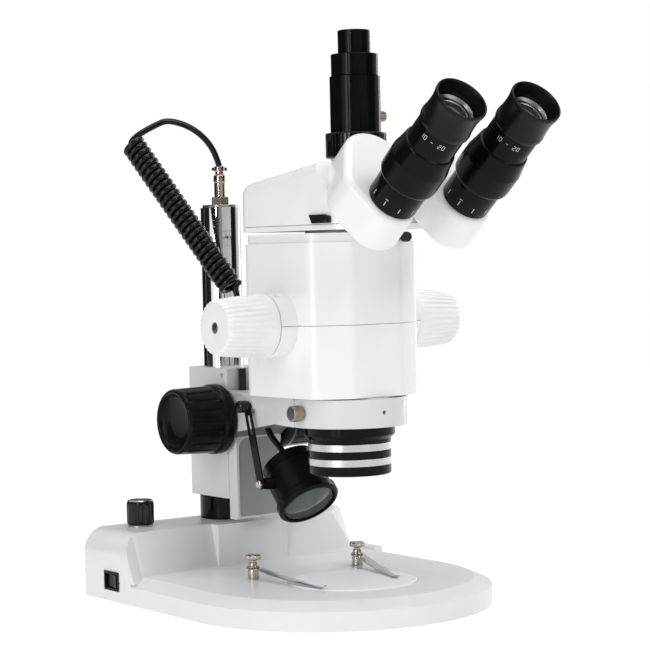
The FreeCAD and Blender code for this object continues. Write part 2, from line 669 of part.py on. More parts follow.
def focus_knobs():
    """Two ribbed knobs, each with a wide flange at the block and a cup-shaped end."""
    start, end = "focus_knob_start", "focus_knob_end"
    profile = [
        ("shaft_radius", f"{start}"), ("focus_flange_radius - 1.5", start),
        ("focus_flange_radius", f"{start} + 1.5"), ("focus_flange_radius", f"{start} + 9"),
        ("focus_grip_radius", f"{start} + 14"), ("focus_grip_radius - 0.8", f"{end} - 4"),
        ("focus_grip_radius - 4.5", end), ("focus_grip_radius - 8", end),
        ("focus_grip_radius - 9", f"{end} - 7"), ("shaft_radius", f"{end} - 7"),
    ]
    at = ("0", "pinion_back", "pinion_high")
    knobs = [turned("focus_knob_right", profile, at, TO_RIGHT),
             turned("focus_knob_left", profile, at, TO_LEFT)]
    keep(group("focus_knobs", knobs), "focus_knobs")


# ---------------------------------------------------------------- arm


def ring_arm():
    slide = block("slide_plate", ("-slide_half_width", "slide_front", "slide_low"),
                  ("slide_half_width", "slide_rear", "arm_top"))
    round_edges(slide, "2", is_upright)
    plan = [
        ("-slide_half_width", "slide_front + 1"), ("-ring_radius", "10"), ("ring_radius", "10"),
        ("slide_half_width", "slide_front + 1"),
    ]
    web = slab("arm_plan", plan, "arm_top - arm_root_low + 10",
               at=("0", "0", "arm_root_low - 10"))
    ring = turned("arm_ring", rod("ring_radius", "arm_ring_low", "arm_top"), ("0", "0", "0"))
    casting = fuse("arm_whole", [slide, web, ring])
    belly = [
        ("-80", "arm_root_low - 30"), ("slide_front", "arm_root_low - 30"),
        ("slide_front", "arm_root_low - 5"), ("slide_front - 7", "arm_root_low"),
        ("46", "arm_ring_low"), ("-80", "arm_ring_low"),
    ]
    below = slab("arm_belly", belly, "200", "YZ_Plane", midplane=True)
    dovetail = [
        ("-rail_narrow - 0.35", "slide_rear + 1"), ("-rail_wide - 0.35", "rail_front - 0.3"),
        ("rail_wide + 0.35", "rail_front - 0.3"), ("rail_narrow + 0.35", "slide_rear + 1"),
    ]
    groove = slab("slide_groove", dovetail, "130", at=("0", "0", "slide_low - 5"))
    pod_bore = turned("pod_bore", rod("ring_bore", "100", "arm_top + 5"), ("0", "0", "0"))
    lock_bore = turned("lock_bore", rod("2.5 + fit", "30", "60"),
                       ("0", "0", "ring_knob_high"), TO_LEFT)
    pinch_hole = turned("pinch_hole", rod("1.5", "30", "60"), ("0", "0", "ring_knob_high"),
                        TO_FRONT)
    cable_hole = turned("cable_hole", rod("cable_hole_radius", "100", "200"),
                        ("cable_hole_side", "cable_hole_back", "0"))
    link_bore = turned("link_bore", rod("2.5 + fit", "18", "60"),
                       ("0", "link_back", "link_high"), TO_LEFT)
    boss = turned("link_boss", rod("5.5", "24", "link_face - 0.3"),
                  ("0", "link_back", "link_high"), TO_LEFT)
    whole = fuse("arm_with_boss", [cut("arm_shaped", casting, [below]), boss])
    bores = [groove, pod_bore, lock_bore, pinch_hole, cable_hole, link_bore]
    keep(cut("ring_arm", whole, bores), "ring_arm")


def ring_lock_knob():
    knob = [
        ("0", "ring_bore + 0.9"), ("2.5", "ring_bore + 0.9"), ("2.5", "ring_radius + 1"),
        ("ring_knob_radius - 0.6", "ring_radius + 1"), ("ring_knob_radius", "ring_radius + 1.8"),
        ("ring_knob_radius", "ring_knob_end - 0.8"), ("ring_knob_radius - 0.8", "ring_knob_end"),
        ("0", "ring_knob_end"),
    ]
    keep(turned("ring_lock_knob", knob, ("0", "0", "ring_knob_high"), TO_LEFT), "ring_lock_knob")


# ---------------------------------------------------------------- lamp


def slotted_bar(start, end, half_width, thick, slot_from, slot_to, slot_half):
    """A round-ended flat bar in the YZ plane with a slot along its middle, x from 0 to thick."""
    along = (end - start).normalize()
    across = FreeCAD.Vector(0, -along.z, along.y)
    inward = FreeCAD.Vector(thick, 0, 0)

    def lozenge(a, b, half):
        corners = [a + across * half, b + across * half, b - across * half, a - across * half]
        bar = Part.Face(Part.makePolygon(corners + corners[:1])).extrude(inward)
        for middle in (a, b):
            bar = bar.fuse(Part.makeCylinder(half, thick, middle, X_AXIS))
        return bar.removeSplitter()

    bar = lozenge(start, end, half_width)
    return bar.cut(lozenge(start + along * slot_from, start + along * slot_to, slot_half))


def lamp_link():
    """Slotted steel link that hangs the lamp from the arm."""
    start = FreeCAD.Vector(0, value("link_back"), value("link_high"))
    end = FreeCAD.Vector(0, value("tilt_back"), value("tilt_high"))
    thick = value("link_thick")
    half = value("link_width / 2")
    bar = slotted_bar(start, end, half, thick, 9.0, 26.0, 1.6)
    for spot, radius in ((start, 2.55), (end, 2.05)):
        bar = bar.cut(Part.makeCylinder(radius, thick, spot, X_AXIS))
    keep(made("lamp_link", bar, ("-link_face - link_thick", "0", "0")), "lamp_link")
    stub = [
        ("0", "19"), ("2.5", "19"), ("2.5", "link_face + link_thick + 0.3"),
        ("stub_radius", "link_face + link_thick + 0.3"), ("stub_radius", "stub_end - 1.5"),
        ("stub_radius - 1.5", "stub_end"), ("0", "stub_end"),
    ]
    keep(turned("lamp_pivot_knob", stub, ("0", "link_back", "link_high"), TO_LEFT),
         "lamp_pivot_knob")


LAMP_AT = ("0", "tilt_back", "tilt_high")
LAMP_TURN = (X_AXIS, "lamp_lean")


def lamp():
    """Round lamp; its local Z axis runs forward out of the lens and crosses the tilt axis."""
    back, front = "-lamp_back_length", "lamp_front_length"
    wall = "lamp_radius - 2"
    housing = [
        ("2.6", back), ("lamp_radius - 6", back), ("lamp_radius - 1", f"{back} + 3"),
        ("lamp_radius - 0.2", f"{back} + 10.4"), ("lamp_radius - 1", f"{back} + 10.4"),
        ("lamp_radius - 1", f"{back} + 11.4"), ("lamp_radius", f"{back} + 11.4"),
        ("lamp_radius", f"{front} - 9"), (wall, f"{front} - 9"), (wall, f"{back} + 14"),
        ("lamp_radius - 5", f"{back} + 5"), ("2.6", f"{back} + 5"),
    ]
    tube = turned("lamp_tube", housing, LAMP_AT, LAMP_TURN)
    tab = block("lamp_tab", ("-link_face + 0.4", "tilt_back - 4", "tilt_high - 4"),
                ("-lamp_radius + 1", "tilt_back + 4", "tilt_high + 4"))
    screw_bore = turned("tilt_bore", rod("2", "lamp_radius - 2.5", "60"), LAMP_AT, TO_LEFT)
    shell = fuse("lamp_shell", [tube, tab])
    keep(cut("lamp_housing", shell, [screw_bore]), "lamp_housing")
    bezel = [
        ("lamp_bezel_radius - 3.6", f"{front} - 3"), ("lamp_bezel_radius - 3.6", front),
        ("lamp_bezel_radius - 1.6", front), ("lamp_bezel_radius", f"{front} - 1.6"),
        ("lamp_bezel_radius", f"{front} - 7.5"), ("lamp_radius", f"{front} - 8.9"),
        ("lamp_radius - 2.1", f"{front} - 8.9"), ("lamp_radius - 2.1", f"{front} - 3"),
    ]
    keep(turned("lamp_bezel", bezel, LAMP_AT, LAMP_TURN), "lamp_bezel")
    lens = [
        ("0", f"{front} - 8.5"), ("lamp_radius - 2.3", f"{front} - 6.5"),
        ("lamp_radius - 2.3", f"{front} - 3.2"), ("lamp_radius - 2.6", f"{front} - 1.2"),
        ("0", f"{front} - 0.8"),
    ]
    keep(turned("lamp_lens", lens, LAMP_AT, LAMP_TURN), "lamp_lens")
    screw = [
        ("0", "lamp_radius - 2"), ("1.95", "lamp_radius - 2"),
        ("1.95", "link_face + link_thick + 0.3"), ("3.4", "link_face + link_thick + 0.3"),
        ("3.4", "link_face + link_thick + 2"), ("2.6", "link_face + link_thick + 2.7"),
        ("0", "link_face + link_thick + 2.7"),
    ]
    keep(turned("lamp_tilt_screw", screw, LAMP_AT, TO_LEFT), "lamp_tilt_screw")


# ---------------------------------------------------------------- zoom body


def pod_plan(inset):
    """Outline of the zoom body: flat sides and back, and a bowed front."""
    half = f"body_half_width - {inset}"
    bow = f"body_front + {inset}"
    return [
        (f"-({half})", f"body_rear - {inset}"), (half, f"body_rear - {inset}"),
        (half, f"body_side_front + {inset}"), (f"({half}) * 0.45", bow),
        (f"-({half}) * 0.45", bow), (f"-({half})", f"body_side_front + {inset}"),
    ]


def pod_slab(name, inset, low, high):
    body = slab(name, pod_plan(inset), f"({high}) - ({low})", at=("0", "0", low))
    round_edges(body, f"body_round - {inset}", is_upright)
    return body


def zoom_body():
    """Lower and upper shells, each with half of the two knob collars."""
    inner = "body_wall"
    rough = {
        "lower": [pod_slab("lower_outer", "0", "body_low", "body_seam"),
                  turned("lower_spigot", rod("ring_bore - ring_gap", "objective_top - 8",
                                             "body_low + 1"), ("0", "0", "0"))],
        "upper": [pod_slab("upper_outer", "0", "body_seam + seam_gap", "body_shoulder"),
                  pod_slab("upper_neck", "body_inset", "body_shoulder - 1", "body_top")],
    }
    hollow = {
        "lower": [pod_slab("lower_inner", inner, "body_low + body_wall", "body_seam + 1"),
                  turned("objective_seat", rod("objective_radius + 0.2", "100",
                                               "body_low + 5"), ("0", "0", "0"))],
        "upper": [pod_slab("upper_inner", inner, "body_seam - 1", "body_shoulder - body_wall"),
                  turned("light_way", rod("26", "body_seam", "body_top + 1"), ("0", "0", "0"))],
    }
    limits = {"lower": ("body_seam - 40", "body_seam"),
              "upper": ("body_seam + seam_gap", "body_seam + 40")}
    collar = pipe("zoom_shaft_radius + fit", "zoom_collar_radius", "body_half_width - 12",
                  "zoom_collar_end")
    bore = rod("zoom_shaft_radius + fit", "20", "80")
    at = ("0", "zoom_back", "zoom_high")
    for half in ("lower", "upper"):
        low, high = limits[half]
        shells = fuse(f"{half}_rough", rough[half])
        shell = cut(f"{half}_shell", shells, hollow[half])
        rings = fuse(f"{half}_rings", [turned(f"{half}_collar_right", collar, at, TO_RIGHT),
                                       turned(f"{half}_collar_left", collar, at, TO_LEFT)])
        room = block(f"{half}_room", ("-100", "-60", low), ("100", "80", high))
        trimmed = doc.addObject("Part::Common", f"{half}_collars")
        trimmed.Base = rings
        trimmed.Tool = room
        doc.recompute()
        bores = [turned(f"{half}_bore_right", bore, at, TO_RIGHT),
                 turned(f"{half}_bore_left", bore, at, TO_LEFT)]
        if half == "upper":
            bores.append(turned("lock_screw_bore", rod("1.8 + fit", "29", "45"),
                                ("25", "0", "277.6"), TO_FRONT))
        whole = fuse(f"{half}_whole", [shell, trimmed])
        keep(cut(f"zoom_body_{half}", whole, bores), f"zoom_body_{half}")


def zoom_drive():
    """The two knobs on their half shafts, each half shaft ending in a cam disc."""
    start, end = "zoom_knob_start", "zoom_knob_end"
    knob = [
        ("zoom_shaft_radius", start), ("zoom_knob_big - 0.4", start),
        ("zoom_knob_big", f"{start} + 3"), ("zoom_knob_big", f"{start} + 13"),
        ("zoom_knob_big - 0.9", f"{start} + 28"), ("zoom_knob_small + 0.8", f"{end} - 3"),
        ("zoom_knob_small - 0.9", end), ("5.5", end), ("5.5", f"{end} - 4"),
        ("zoom_shaft_radius", f"{end} - 4"),
    ]
    shaft = [
        ("0", "26"), ("17", "26"), ("17", "30"), ("zoom_shaft_radius", "30"),
        ("zoom_shaft_radius", f"{end} - 4"), ("4.8", f"{end} - 4"), ("4.8", f"{end} - 2"),
        ("0", f"{end} - 2"),
    ]
    at = ("0", "zoom_back", "zoom_high")
    keep(group("zoom_knobs", [turned("zoom_knob_right", knob, at, TO_RIGHT),
                              turned("zoom_knob_left", knob, at, TO_LEFT)]), "zoom_knobs")
    keep(group("zoom_shafts", [turned("zoom_shaft_right", shaft, at, TO_RIGHT),
                               turned("zoom_shaft_left", shaft, at, TO_LEFT)]), "zoom_shafts")


def lens_group(name, low, high):
    """A carrier plate with one lens cell for each eye's channel."""
    plate = block(f"{name}_plate", ("-24", "-11", low), ("24", "11", f"{low} + 3"))
    cells, ways = [], []
    for side, sign in LEFT_AND_RIGHT:
        at = (f"{sign} * channel_offset", "0", "0")
        cells.append(turned(f"{name}_cell_{side}", rod("10.5", low, high), at))
        ways.append(turned(f"{name}_way_{side}", rod("8.5", f"{low} + 5", f"{high} + 1"), at))
        ways.append(turned(f"{name}_foot_{side}", rod("8.5", f"{low} - 1", f"{low} + 2"), at))
    whole = fuse(f"{name}_whole", [plate] + cells)
    keep(cut(name, whole, ways), name)


def objective():
    low = "objective_low"
    groove = "objective_radius - 0.9"
    barrel = [
        ("objective_bore", low), ("objective_radius - 1", low), ("objective_radius", f"{low} + 1"),
        ("objective_radius", "band_low"), (groove, "band_low"),
        (groove, "band_low + band_height"), ("objective_radius", "band_low + band_height"),
        ("objective_radius", "band_second"), (groove, "band_second"),
        (groove, "band_second + band_height"), ("objective_radius", "band_second + band_height"),
        ("objective_radius", "objective_head_low - 1.5"),
        ("objective_head_radius", "objective_head_low + 1.5"),
        ("objective_head_radius", "arm_ring_low - 0.8"),
        ("objective_radius + 0.1", "arm_ring_low - 0.8"),
        ("objective_radius + 0.1", "objective_top"), ("objective_bore", "objective_top"),
    ]
    at = ("0", "0", "0")
    keep(turned("objective_barrel", barrel, at), "objective_barrel")
    bands = []
    for start in ("band_low", "band_second"):
        name = f"band_{len(bands) + 1}"
        bands.append(turned(name, pipe(groove, "objective_radius + 0.1", start,
                                       f"{start} + band_height"), at))
    keep(group("objective_bands", bands), "objective_bands")
    lens = [
        ("0", f"{low} + 1.5"), ("objective_bore - 0.1", f"{low} + 3.5"),
        ("objective_bore - 0.1", f"{low} + 9"), ("0", f"{low} + 11"),
    ]
    keep(turned("objective_lens", lens, at), "objective_lens")


# ---------------------------------------------------------------- head


def head():
    """Base plate and shell; the shell's front slopes square to the eyepieces."""
    lean = math.radians(value("eye_lean"))
    back_face = value("eye_front") + (value("box_thick") + value("box_gap")) * math.sin(lean)
    back_high = value("eye_high") - (value("box_thick") + value("box_gap")) * math.cos(lean)
    slope = math.cos(lean) / math.sin(lean)

    def front_at(height):
        return f"{back_face + (value(height) - back_high) * slope:.4f}"

    nose_low = front_at("head_seam")
    plan = [
        ("-head_half_width", "head_rear"), ("head_half_width", "head_rear"),
        ("head_half_width", "-57"), ("head_nose_half", f"{nose_low} + 3"),
        ("-head_nose_half", f"{nose_low} + 3"), ("-head_half_width", "-57"),
    ]
    base = slab("head_plate", plan, "head_seam - head_base_low", at=("0", "0", "head_base_low"))
    rear = value("head_rear")
    round_edges(base, "17", lambda edge: is_upright(edge) and edge.BoundBox.YMin > rear - 0.01)
    boss = turned("head_boss", rod("30", "body_top", "head_base_low + 1"), ("0", "0", "0"))
    way = turned("head_way", rod("25", "body_top - 1", "head_seam + 1"), ("0", "0", "0"))
    keep(cut("head_base", fuse("head_base_whole", [base, boss]), [way]), "head_base")
    side = [
        ("head_rear", "head_seam + seam_gap"), ("head_rear", "head_rear_top"),
        (front_at("head_crown"), "head_crown"), (nose_low, "head_seam + seam_gap"),
    ]
    outer = slab("head_outer", side, "2 * head_half_width", "YZ_Plane", midplane=True)

    round_edges(outer, "17", lambda edge: is_upright(edge) and edge.BoundBox.YMin > rear - 0.01)
    low = value("head_rear_top") - 1

    def above(edge):
        return edge.BoundBox.ZMin > low and edge.BoundBox.YMax > 0

    round_edges(outer, "head_round", above)
    inner_side = [
        ("head_rear - head_wall", "head_seam"), ("head_rear - head_wall", "head_rear_top - 14"),
        (f"{front_at('head_crown - 3 * head_wall')} + 6", "head_crown - 3 * head_wall"),
        (f"{nose_low} + 6", "head_seam"),
    ]
    inner = slab("head_inner", inner_side, "2 * (head_half_width - 2 * head_wall)", "YZ_Plane",
                 midplane=True)
    cheeks = []
    for side_name, sign in LEFT_AND_RIGHT:
        cheek = [
            (f"{sign} * head_half_width", "-57"), (f"{sign} * (head_half_width + 5)", "-57"),
            (f"{sign} * (head_half_width + 5)", f"{nose_low} - 5"),
            (f"{sign} * head_nose_half", f"{nose_low} - 5"),
            (f"{sign} * head_nose_half", nose_low),
        ]
        cheeks.append(slab(f"cheek_{side_name}", cheek, "80", at=("0", "0", "head_seam - 5")))
    port_at = ("port_side", "0", "0")
    neck = turned("port_neck", rod("port_neck_radius", "head_crown - 12", "port_neck_top"),
                  port_at)
    port_way = turned("port_way", rod("port_bore + 2", "head_crown - 20", "port_neck_top + 1"),
                      port_at)
    shaped = cut("head_shaped", outer, cheeks)
    hollow = cut("head_hollow", shaped, [inner])
    whole = fuse("head_with_neck", [hollow, neck])
    keep(cut("head_shell", whole, [port_way]), "head_shell")


def photo_port():
    at = ("port_side", "0", "0")
    ring = [
        ("port_bore + 2", "port_neck_top + 0.3"), ("port_ring_radius - 0.6", "port_neck_top + 0.3"),
        ("port_ring_radius", "port_neck_top + 1"), ("port_ring_radius", "port_ring_top - 0.7"),
        ("port_ring_radius - 0.6", "port_ring_top"), ("port_bore + 2", "port_ring_top"),
    ]
    keep(turned("photo_port_ring", ring, at), "photo_port_ring")
    slip = "port_collar_radius - 2"
    tube = [
        ("port_bore + 2", "port_ring_top + 0.3"), ("port_tube_radius", "port_ring_top + 0.3"),
        ("port_tube_radius", "port_tube_top"), (f"{slip} + fit", "port_tube_top"),
        (f"{slip} + fit", "port_ring_top + 6"), ("port_bore + 2", "port_ring_top + 6"),
    ]
    shell = turned("port_tube_body", tube, at)
    screw_way = turned("port_screw_way", rod("2 + fit", "14", "25"),
                       ("port_side", "0", "port_ring_top + 13"), TO_RIGHT)
    keep(cut("photo_port_tube", shell, [screw_way]), "photo_port_tube")
    adapter = [
        ("port_bore", "port_ring_top + 8"), (slip, "port_ring_top + 8"),
        (slip, "port_tube_top + 0.4"), ("port_collar_radius", "port_tube_top + 0.4"),
        ("port_collar_radius", "port_collar_top"), ("port_top_radius", "port_collar_top"),
        ("port_top_radius", "port_top"), ("port_bore", "port_top"),
    ]
    keep(turned("photo_port_adapter", adapter, at), "photo_port_adapter")
    knob = [
        ("0", "16"), ("2", "16"), ("2", "port_tube_radius + 0.8"),
        ("3", "port_tube_radius + 0.8"), ("3", "port_tube_radius + 1.6"),
        ("4", "port_tube_radius + 2"), ("4", "port_tube_radius + 7.4"),
        ("3.4", "port_tube_radius + 8"), ("0", "port_tube_radius + 8"),
    ]
    keep(turned("photo_port_screw", knob, ("port_side", "0", "port_ring_top + 13"), TO_RIGHT),
         "photo_port_screw")


def head_fittings():
    """The light-path lever on the head's left side, and the screw that locks the head."""
    face = "-head_half_width"
    outline = [
        ("-54", "288.2"), ("-32", "288.2"), ("-28.4", "294.5"), ("-48", "294.5"),
        ("-54", "293"),
    ]
    blade = slab("lever_blade", outline, "1.8", "YZ_Plane", at=(f"{face} - 2.1", "0", "0"))
    screw = turned("lever_screw", rod("1.8", "0", "3"), (f"{face} - 0.3", "-49.5", "291.2"), TO_LEFT)
    keep(fuse("light_path_lever", [blade, screw]), "light_path_lever")
    knob = [
        ("0", "30"), ("1.8", "30"), ("1.8", "37"), ("2.6", "37"), ("2.6", "38.3"),
        ("3.8", "38.8"), ("3.8", "43.6"), ("3", "44.6"), ("0", "44.6"),
    ]
    keep(turned("head_lock_screw", knob, ("25", "0", "277.6"), TO_FRONT), "head_lock_screw")


# ---------------------------------------------------------------- eyepieces


def tangent_outline(circles):
    """The outline of a belt round circles given as (x, y, radius), in anticlockwise order."""
    edges = []
    count = len(circles)
    touches = []
    for i in range(count):
        ax, ay, ar = circles[i]
        bx, by, br = circles[(i + 1) % count]
        gap = math.hypot(bx - ax, by - ay)
        heading = math.atan2(by - ay, bx - ax)
        normal = heading - math.pi / 2 + math.asin((ar - br) / gap)
        out = FreeCAD.Vector(math.cos(normal), math.sin(normal), 0)
        touches.append((FreeCAD.Vector(ax, ay, 0) + out * ar, FreeCAD.Vector(bx, by, 0) + out * br,
                        normal))
    for i in range(count):
        leave, arrive, normal = touches[i]
        edges.append(Part.LineSegment(leave, arrive).toShape())
        x, y, radius = circles[(i + 1) % count]
        after = touches[(i + 1) % count]
        turn = (after[2] - normal) % (2 * math.pi)
        middle = normal + turn / 2
        top = FreeCAD.Vector(x + radius * math.cos(middle), y + radius * math.sin(middle), 0)
        edges.append(Part.Arc(arrive, top, after[0]).toShape())
    return Part.Wire(edges)


def prism_box(side, sign):
    """Rounded box that swings about the light path; local X out, Y up its face, Z to the eye."""
    pivot = (-sign * value("box_pivot_in"), value("box_pivot_up"), value("box_pivot_radius"))
    eye = (sign * 1.5, 0.7, value("box_eye_radius"))
    cheek = (sign * 6.0, 18.0, value("box_eye_radius") + 2.0)
    order = [eye, cheek, pivot] if sign > 0 else [eye, pivot, cheek]
    thick = value("box_thick")
    face = Part.Face(tangent_outline(order))
    solid = face.extrude(FreeCAD.Vector(0, 0, thick))
    solid.translate(FreeCAD.Vector(0, 0, -thick))
    rims = [edge for edge in solid.Edges if edge.BoundBox.ZLength < 1e-6]
    solid = solid.makeFillet(value("box_round"), rims)
    bore = Part.makeCylinder(14.6, 12, FreeCAD.Vector(0, 0, -11))
    drop = Part.makeCylinder(11, thick, FreeCAD.Vector(0, 0, -thick + 8))
    solid = solid.cut(bore.fuse(drop))
    at = (f"{sign} * eye_offset", "eye_front", "eye_high")
    keep(made(f"{side}_box", solid, at, (X_AXIS, "eye_lean")), f"{side}_prism_box")


def eyepiece(side, sign):
    """Diopter ring, ocular, rubber cup and eye lens, all about the local Z axis."""
    at = (f"{sign} * eye_offset", "eye_front", "eye_high")
    turn = (X_AXIS, "eye_lean")
    ring = [
        ("12.6", "-10"), ("14.5", "-10"), ("14.5", "0.3"), ("diopter_radius", "0.3"),
        ("diopter_radius", "diopter_top"), ("12.6", "diopter_top"),
    ]
    keep(turned(f"{side}_diopter", ring, at, turn), f"{side}_diopter_ring")
    base = "diopter_top + 0.3"
    tube = [
        ("11", "-8"), ("12.5", "-8"), ("12.5", base), ("diopter_radius - 0.3", base),
        ("eye_collar_radius", "28"), ("eye_collar_radius", "42"),
        ("eye_collar_radius - 2.8", "56"), ("eye_barrel_radius", "56.6"),
        ("eye_barrel_radius", "eye_top - 18"), ("15.2", "eye_top - 18"),
        ("15.2", "eye_top - 13"), ("12.5", "eye_top - 13"), ("12.5", "eye_top - 17"),
        ("11", "eye_top - 17"),
    ]
    keep(turned(f"{side}_ocular", tube, at, turn), f"{side}_eyepiece")
    over = "eye_barrel_radius + 0.02"
    cup = [
        (over, "eye_top - 25.5"), ("eye_barrel_radius + 1", "eye_top - 25.5"),
        ("eye_barrel_radius + 1.3", "eye_top - 22"), ("eye_barrel_radius + 1", "eye_top - 12"),
        ("eye_cup_radius - 0.4", "eye_top - 2"), ("eye_cup_radius", "eye_top"),
        ("eye_cup_radius - 1.6", "eye_top"), ("15.3", "eye_top - 9"),
        ("15.3", "eye_top - 17.9"), (over, "eye_top - 17.9"),
    ]
    keep(turned(f"{side}_cup", cup, at, turn), f"{side}_eyecup")
    lens = [("0", "eye_top - 16"), ("12.4", "eye_top - 16"), ("12.4", "eye_top - 14"),
            ("0", "eye_top - 12")]
    keep(turned(f"{side}_lens", lens, at, turn), f"{side}_eye_lens")


# ---------------------------------------------------------------- lamp cord

# Route points of the plain leads, in millimetres, from the plug to the coil and from the coil
# to the lamp's back end. The coil between them is one straight fat cylinder.
LEAD_ROUTE = [
    (0, 170, 339.5), (-2.5, 170.6, 348), (-8, 171.9, 358), (-17, 174, 367), (-29, 176.9, 373.6),
    (-43, 180.2, 376.4), (-57, 183.5, 375.4), (-70, 186.6, 373), (-79, 188.7, 366.5),
    (-79, 187.6, 357),
]
COIL_START = (-74.0, 186.6, 361.0)
COIL_END = (-26.0, 112.0, 238.0)
TAIL_ROUTE = [
    (-26, 112, 238), (-22, 106.5, 229), (-17, 102, 217), (-11, 100, 203), (-6.5, 101, 188),
    (-4, 103, 172), (-4, 104, 157), (-4, 104.4, 142), (-3.9, 103.4, 129), (-1.9, 96.8, 120.2),
    (0, 89.74, 114.03), (0, 82.65, 106.15),
]


def rounded_path(points):
    """Straight runs joined by tangent arcs, each as large as its two runs allow."""
    spots = [FreeCAD.Vector(*point) for point in points]
    edges = []
    radii = []
    start = spots[0]
    for before, corner, after in zip(spots, spots[1:], spots[2:]):
        back = (before - corner).normalize()
        onward = (after - corner).normalize()
        turn = math.pi - back.getAngle(onward)
        trim = 0.45 * min((corner - before).Length, (after - corner).Length)
        radius = trim / math.tan(turn / 2)
        radii.append(round(radius, 1))
        first = corner + back * trim
        last = corner + onward * trim
        inward = (back + onward).normalize()
        middle = corner + inward * (radius / math.cos(turn / 2) - radius)
        edges.append(Part.LineSegment(start, first).toShape())
        edges.append(Part.Arc(first, middle, last).toShape())
        start = last
    edges.append(Part.LineSegment(start, spots[-1]).toShape())
    return Part.Wire(edges), radii


def cord_tube(name, points):
    path, radii = rounded_path(points)
    radius = value("cord_radius")
    first = path.Edges[0]
    circle = Part.makeCircle(radius, first.Vertexes[0].Point, first.tangentAt(0))
    tube = path.makePipeShell([Part.Wire([circle])], True, False)
    expected = math.pi * radius ** 2 * path.Length
    print(name, "length", round(path.Length, 1), "volume ratio",
          round(tube.Volume / expected, 4), "radii", radii)
    keep(made(name, tube), name)


def lamp_cord():
    cord_tube("cord_lead", LEAD_ROUTE)
    cord_tube("cord_tail", TAIL_ROUTE)
    start = FreeCAD.Vector(*COIL_START)
    along = FreeCAD.Vector(*COIL_END) - start
    coil = Part.makeCylinder(value("coil_radius"), along.Length, start, along)
    keep(made("cord_coil", coil), "cord_coil")


def build():
    fill_sheet()
    base_shell()
    base_fittings()
    mains_inlet()
    power_switch()
    dimmer()
    stage_clips()
    pillar()
    lamp_connector()
    focus_block()
    pinion()
    rack()
    focus_knobs()
    ring_arm()
    ring_lock_knob()
    lamp_link()
    lamp()
    zoom_body()
    zoom_drive()
    lens_group("lower_zoom_lenses", "176", "192")
    lens_group("upper_zoom_lenses", "236", "252")
    objective()
    head()
    photo_port()
    head_fittings()
    for side, sign in LEFT_AND_RIGHT:
        prism_box(side, sign)
        eyepiece(side, sign)
    lamp_cord()
    doc.recompute()


def check_and_export():
    failed = [item.Label for item in doc.Objects
              if "Invalid" in item.State or "Error" in item.State]
    if failed:
        raise RuntimeError(f"failed: {failed}")
    for name, item in PARTS.items():
        if item.Shape.isNull() or not item.Shape.isValid():
            raise RuntimeError(f"{name} has no valid shape")
    os.makedirs("parts", exist_ok=True)
    for name, item in PARTS.items():
        item.Shape.exportStep(f"parts/{name}.step")
    print(len(PARTS), "parts written")


build()
check_and_export()
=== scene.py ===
"""Looks of the trinocular stereo microscope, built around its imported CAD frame.

Sizes are in millimetres until a mesh is made, and metres after that. X runs to the user's right
and Z up; the user sits at negative Y. Heights in a turned profile are measured along its axis.
"""
import bpy, bmesh
import json, math
from mathutils import Vector, Matrix


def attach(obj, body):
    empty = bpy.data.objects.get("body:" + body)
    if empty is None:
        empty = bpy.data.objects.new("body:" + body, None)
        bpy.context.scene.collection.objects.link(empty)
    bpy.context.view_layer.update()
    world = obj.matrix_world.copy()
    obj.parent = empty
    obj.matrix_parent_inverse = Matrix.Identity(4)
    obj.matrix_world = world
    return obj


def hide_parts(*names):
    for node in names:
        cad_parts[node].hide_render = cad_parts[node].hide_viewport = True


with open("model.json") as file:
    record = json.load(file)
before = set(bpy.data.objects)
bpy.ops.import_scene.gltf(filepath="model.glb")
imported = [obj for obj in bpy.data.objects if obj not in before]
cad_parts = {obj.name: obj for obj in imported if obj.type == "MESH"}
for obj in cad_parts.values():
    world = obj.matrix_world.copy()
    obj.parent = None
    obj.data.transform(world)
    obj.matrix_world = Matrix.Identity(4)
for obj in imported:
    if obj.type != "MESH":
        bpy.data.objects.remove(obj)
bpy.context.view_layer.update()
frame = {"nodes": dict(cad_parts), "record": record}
nodes = frame["nodes"]
MM = 0.001
motion = frame["record"]["behaviour"]
slot_of = {s["node"]: s["material_slot"] for s in frame["record"]["subparts"]}
body_of = {n: b for b, ns in motion["bodies"].items() for n in ns}
joint_at = {j["name"]: Vector(j["pos_m"]) / MM for j in motion["joints"] if "pos_m" in j}

EYE_LEAN = math.radians(50.3)
EYE_WAY = Vector((0, -math.sin(EYE_LEAN), math.cos(EYE_LEAN)))
RIGHT, LEFT, UP = Vector((1, 0, 0)), Vector((-1, 0, 0)), Vector((0, 0, 1))
FRONT = Vector((0, -1, 0))
LAMP_WAY = Vector((0, -0.6691, -0.7431))


def axis_foot(joint, way):
    """The point of a joint's axis that is level with the origin along way."""
    at = joint_at[joint]
    return at - way * at.dot(way)


# ------------------------------------------------------------ camera, floor and light


# Least-squares solve of the round and square outlines in the photograph, in metres and degrees,
# with the pillar taken as 32 mm across and loose guesses for the roll and the focal length.
CAMERA_AT = (-0.90623, -1.22765, 0.26498)
CAMERA_AZIMUTH, CAMERA_PITCH, CAMERA_ROLL = 35.815, 1.942, 1.258
CAMERA_LENS, CAMERA_SENSOR = 113.23, 36


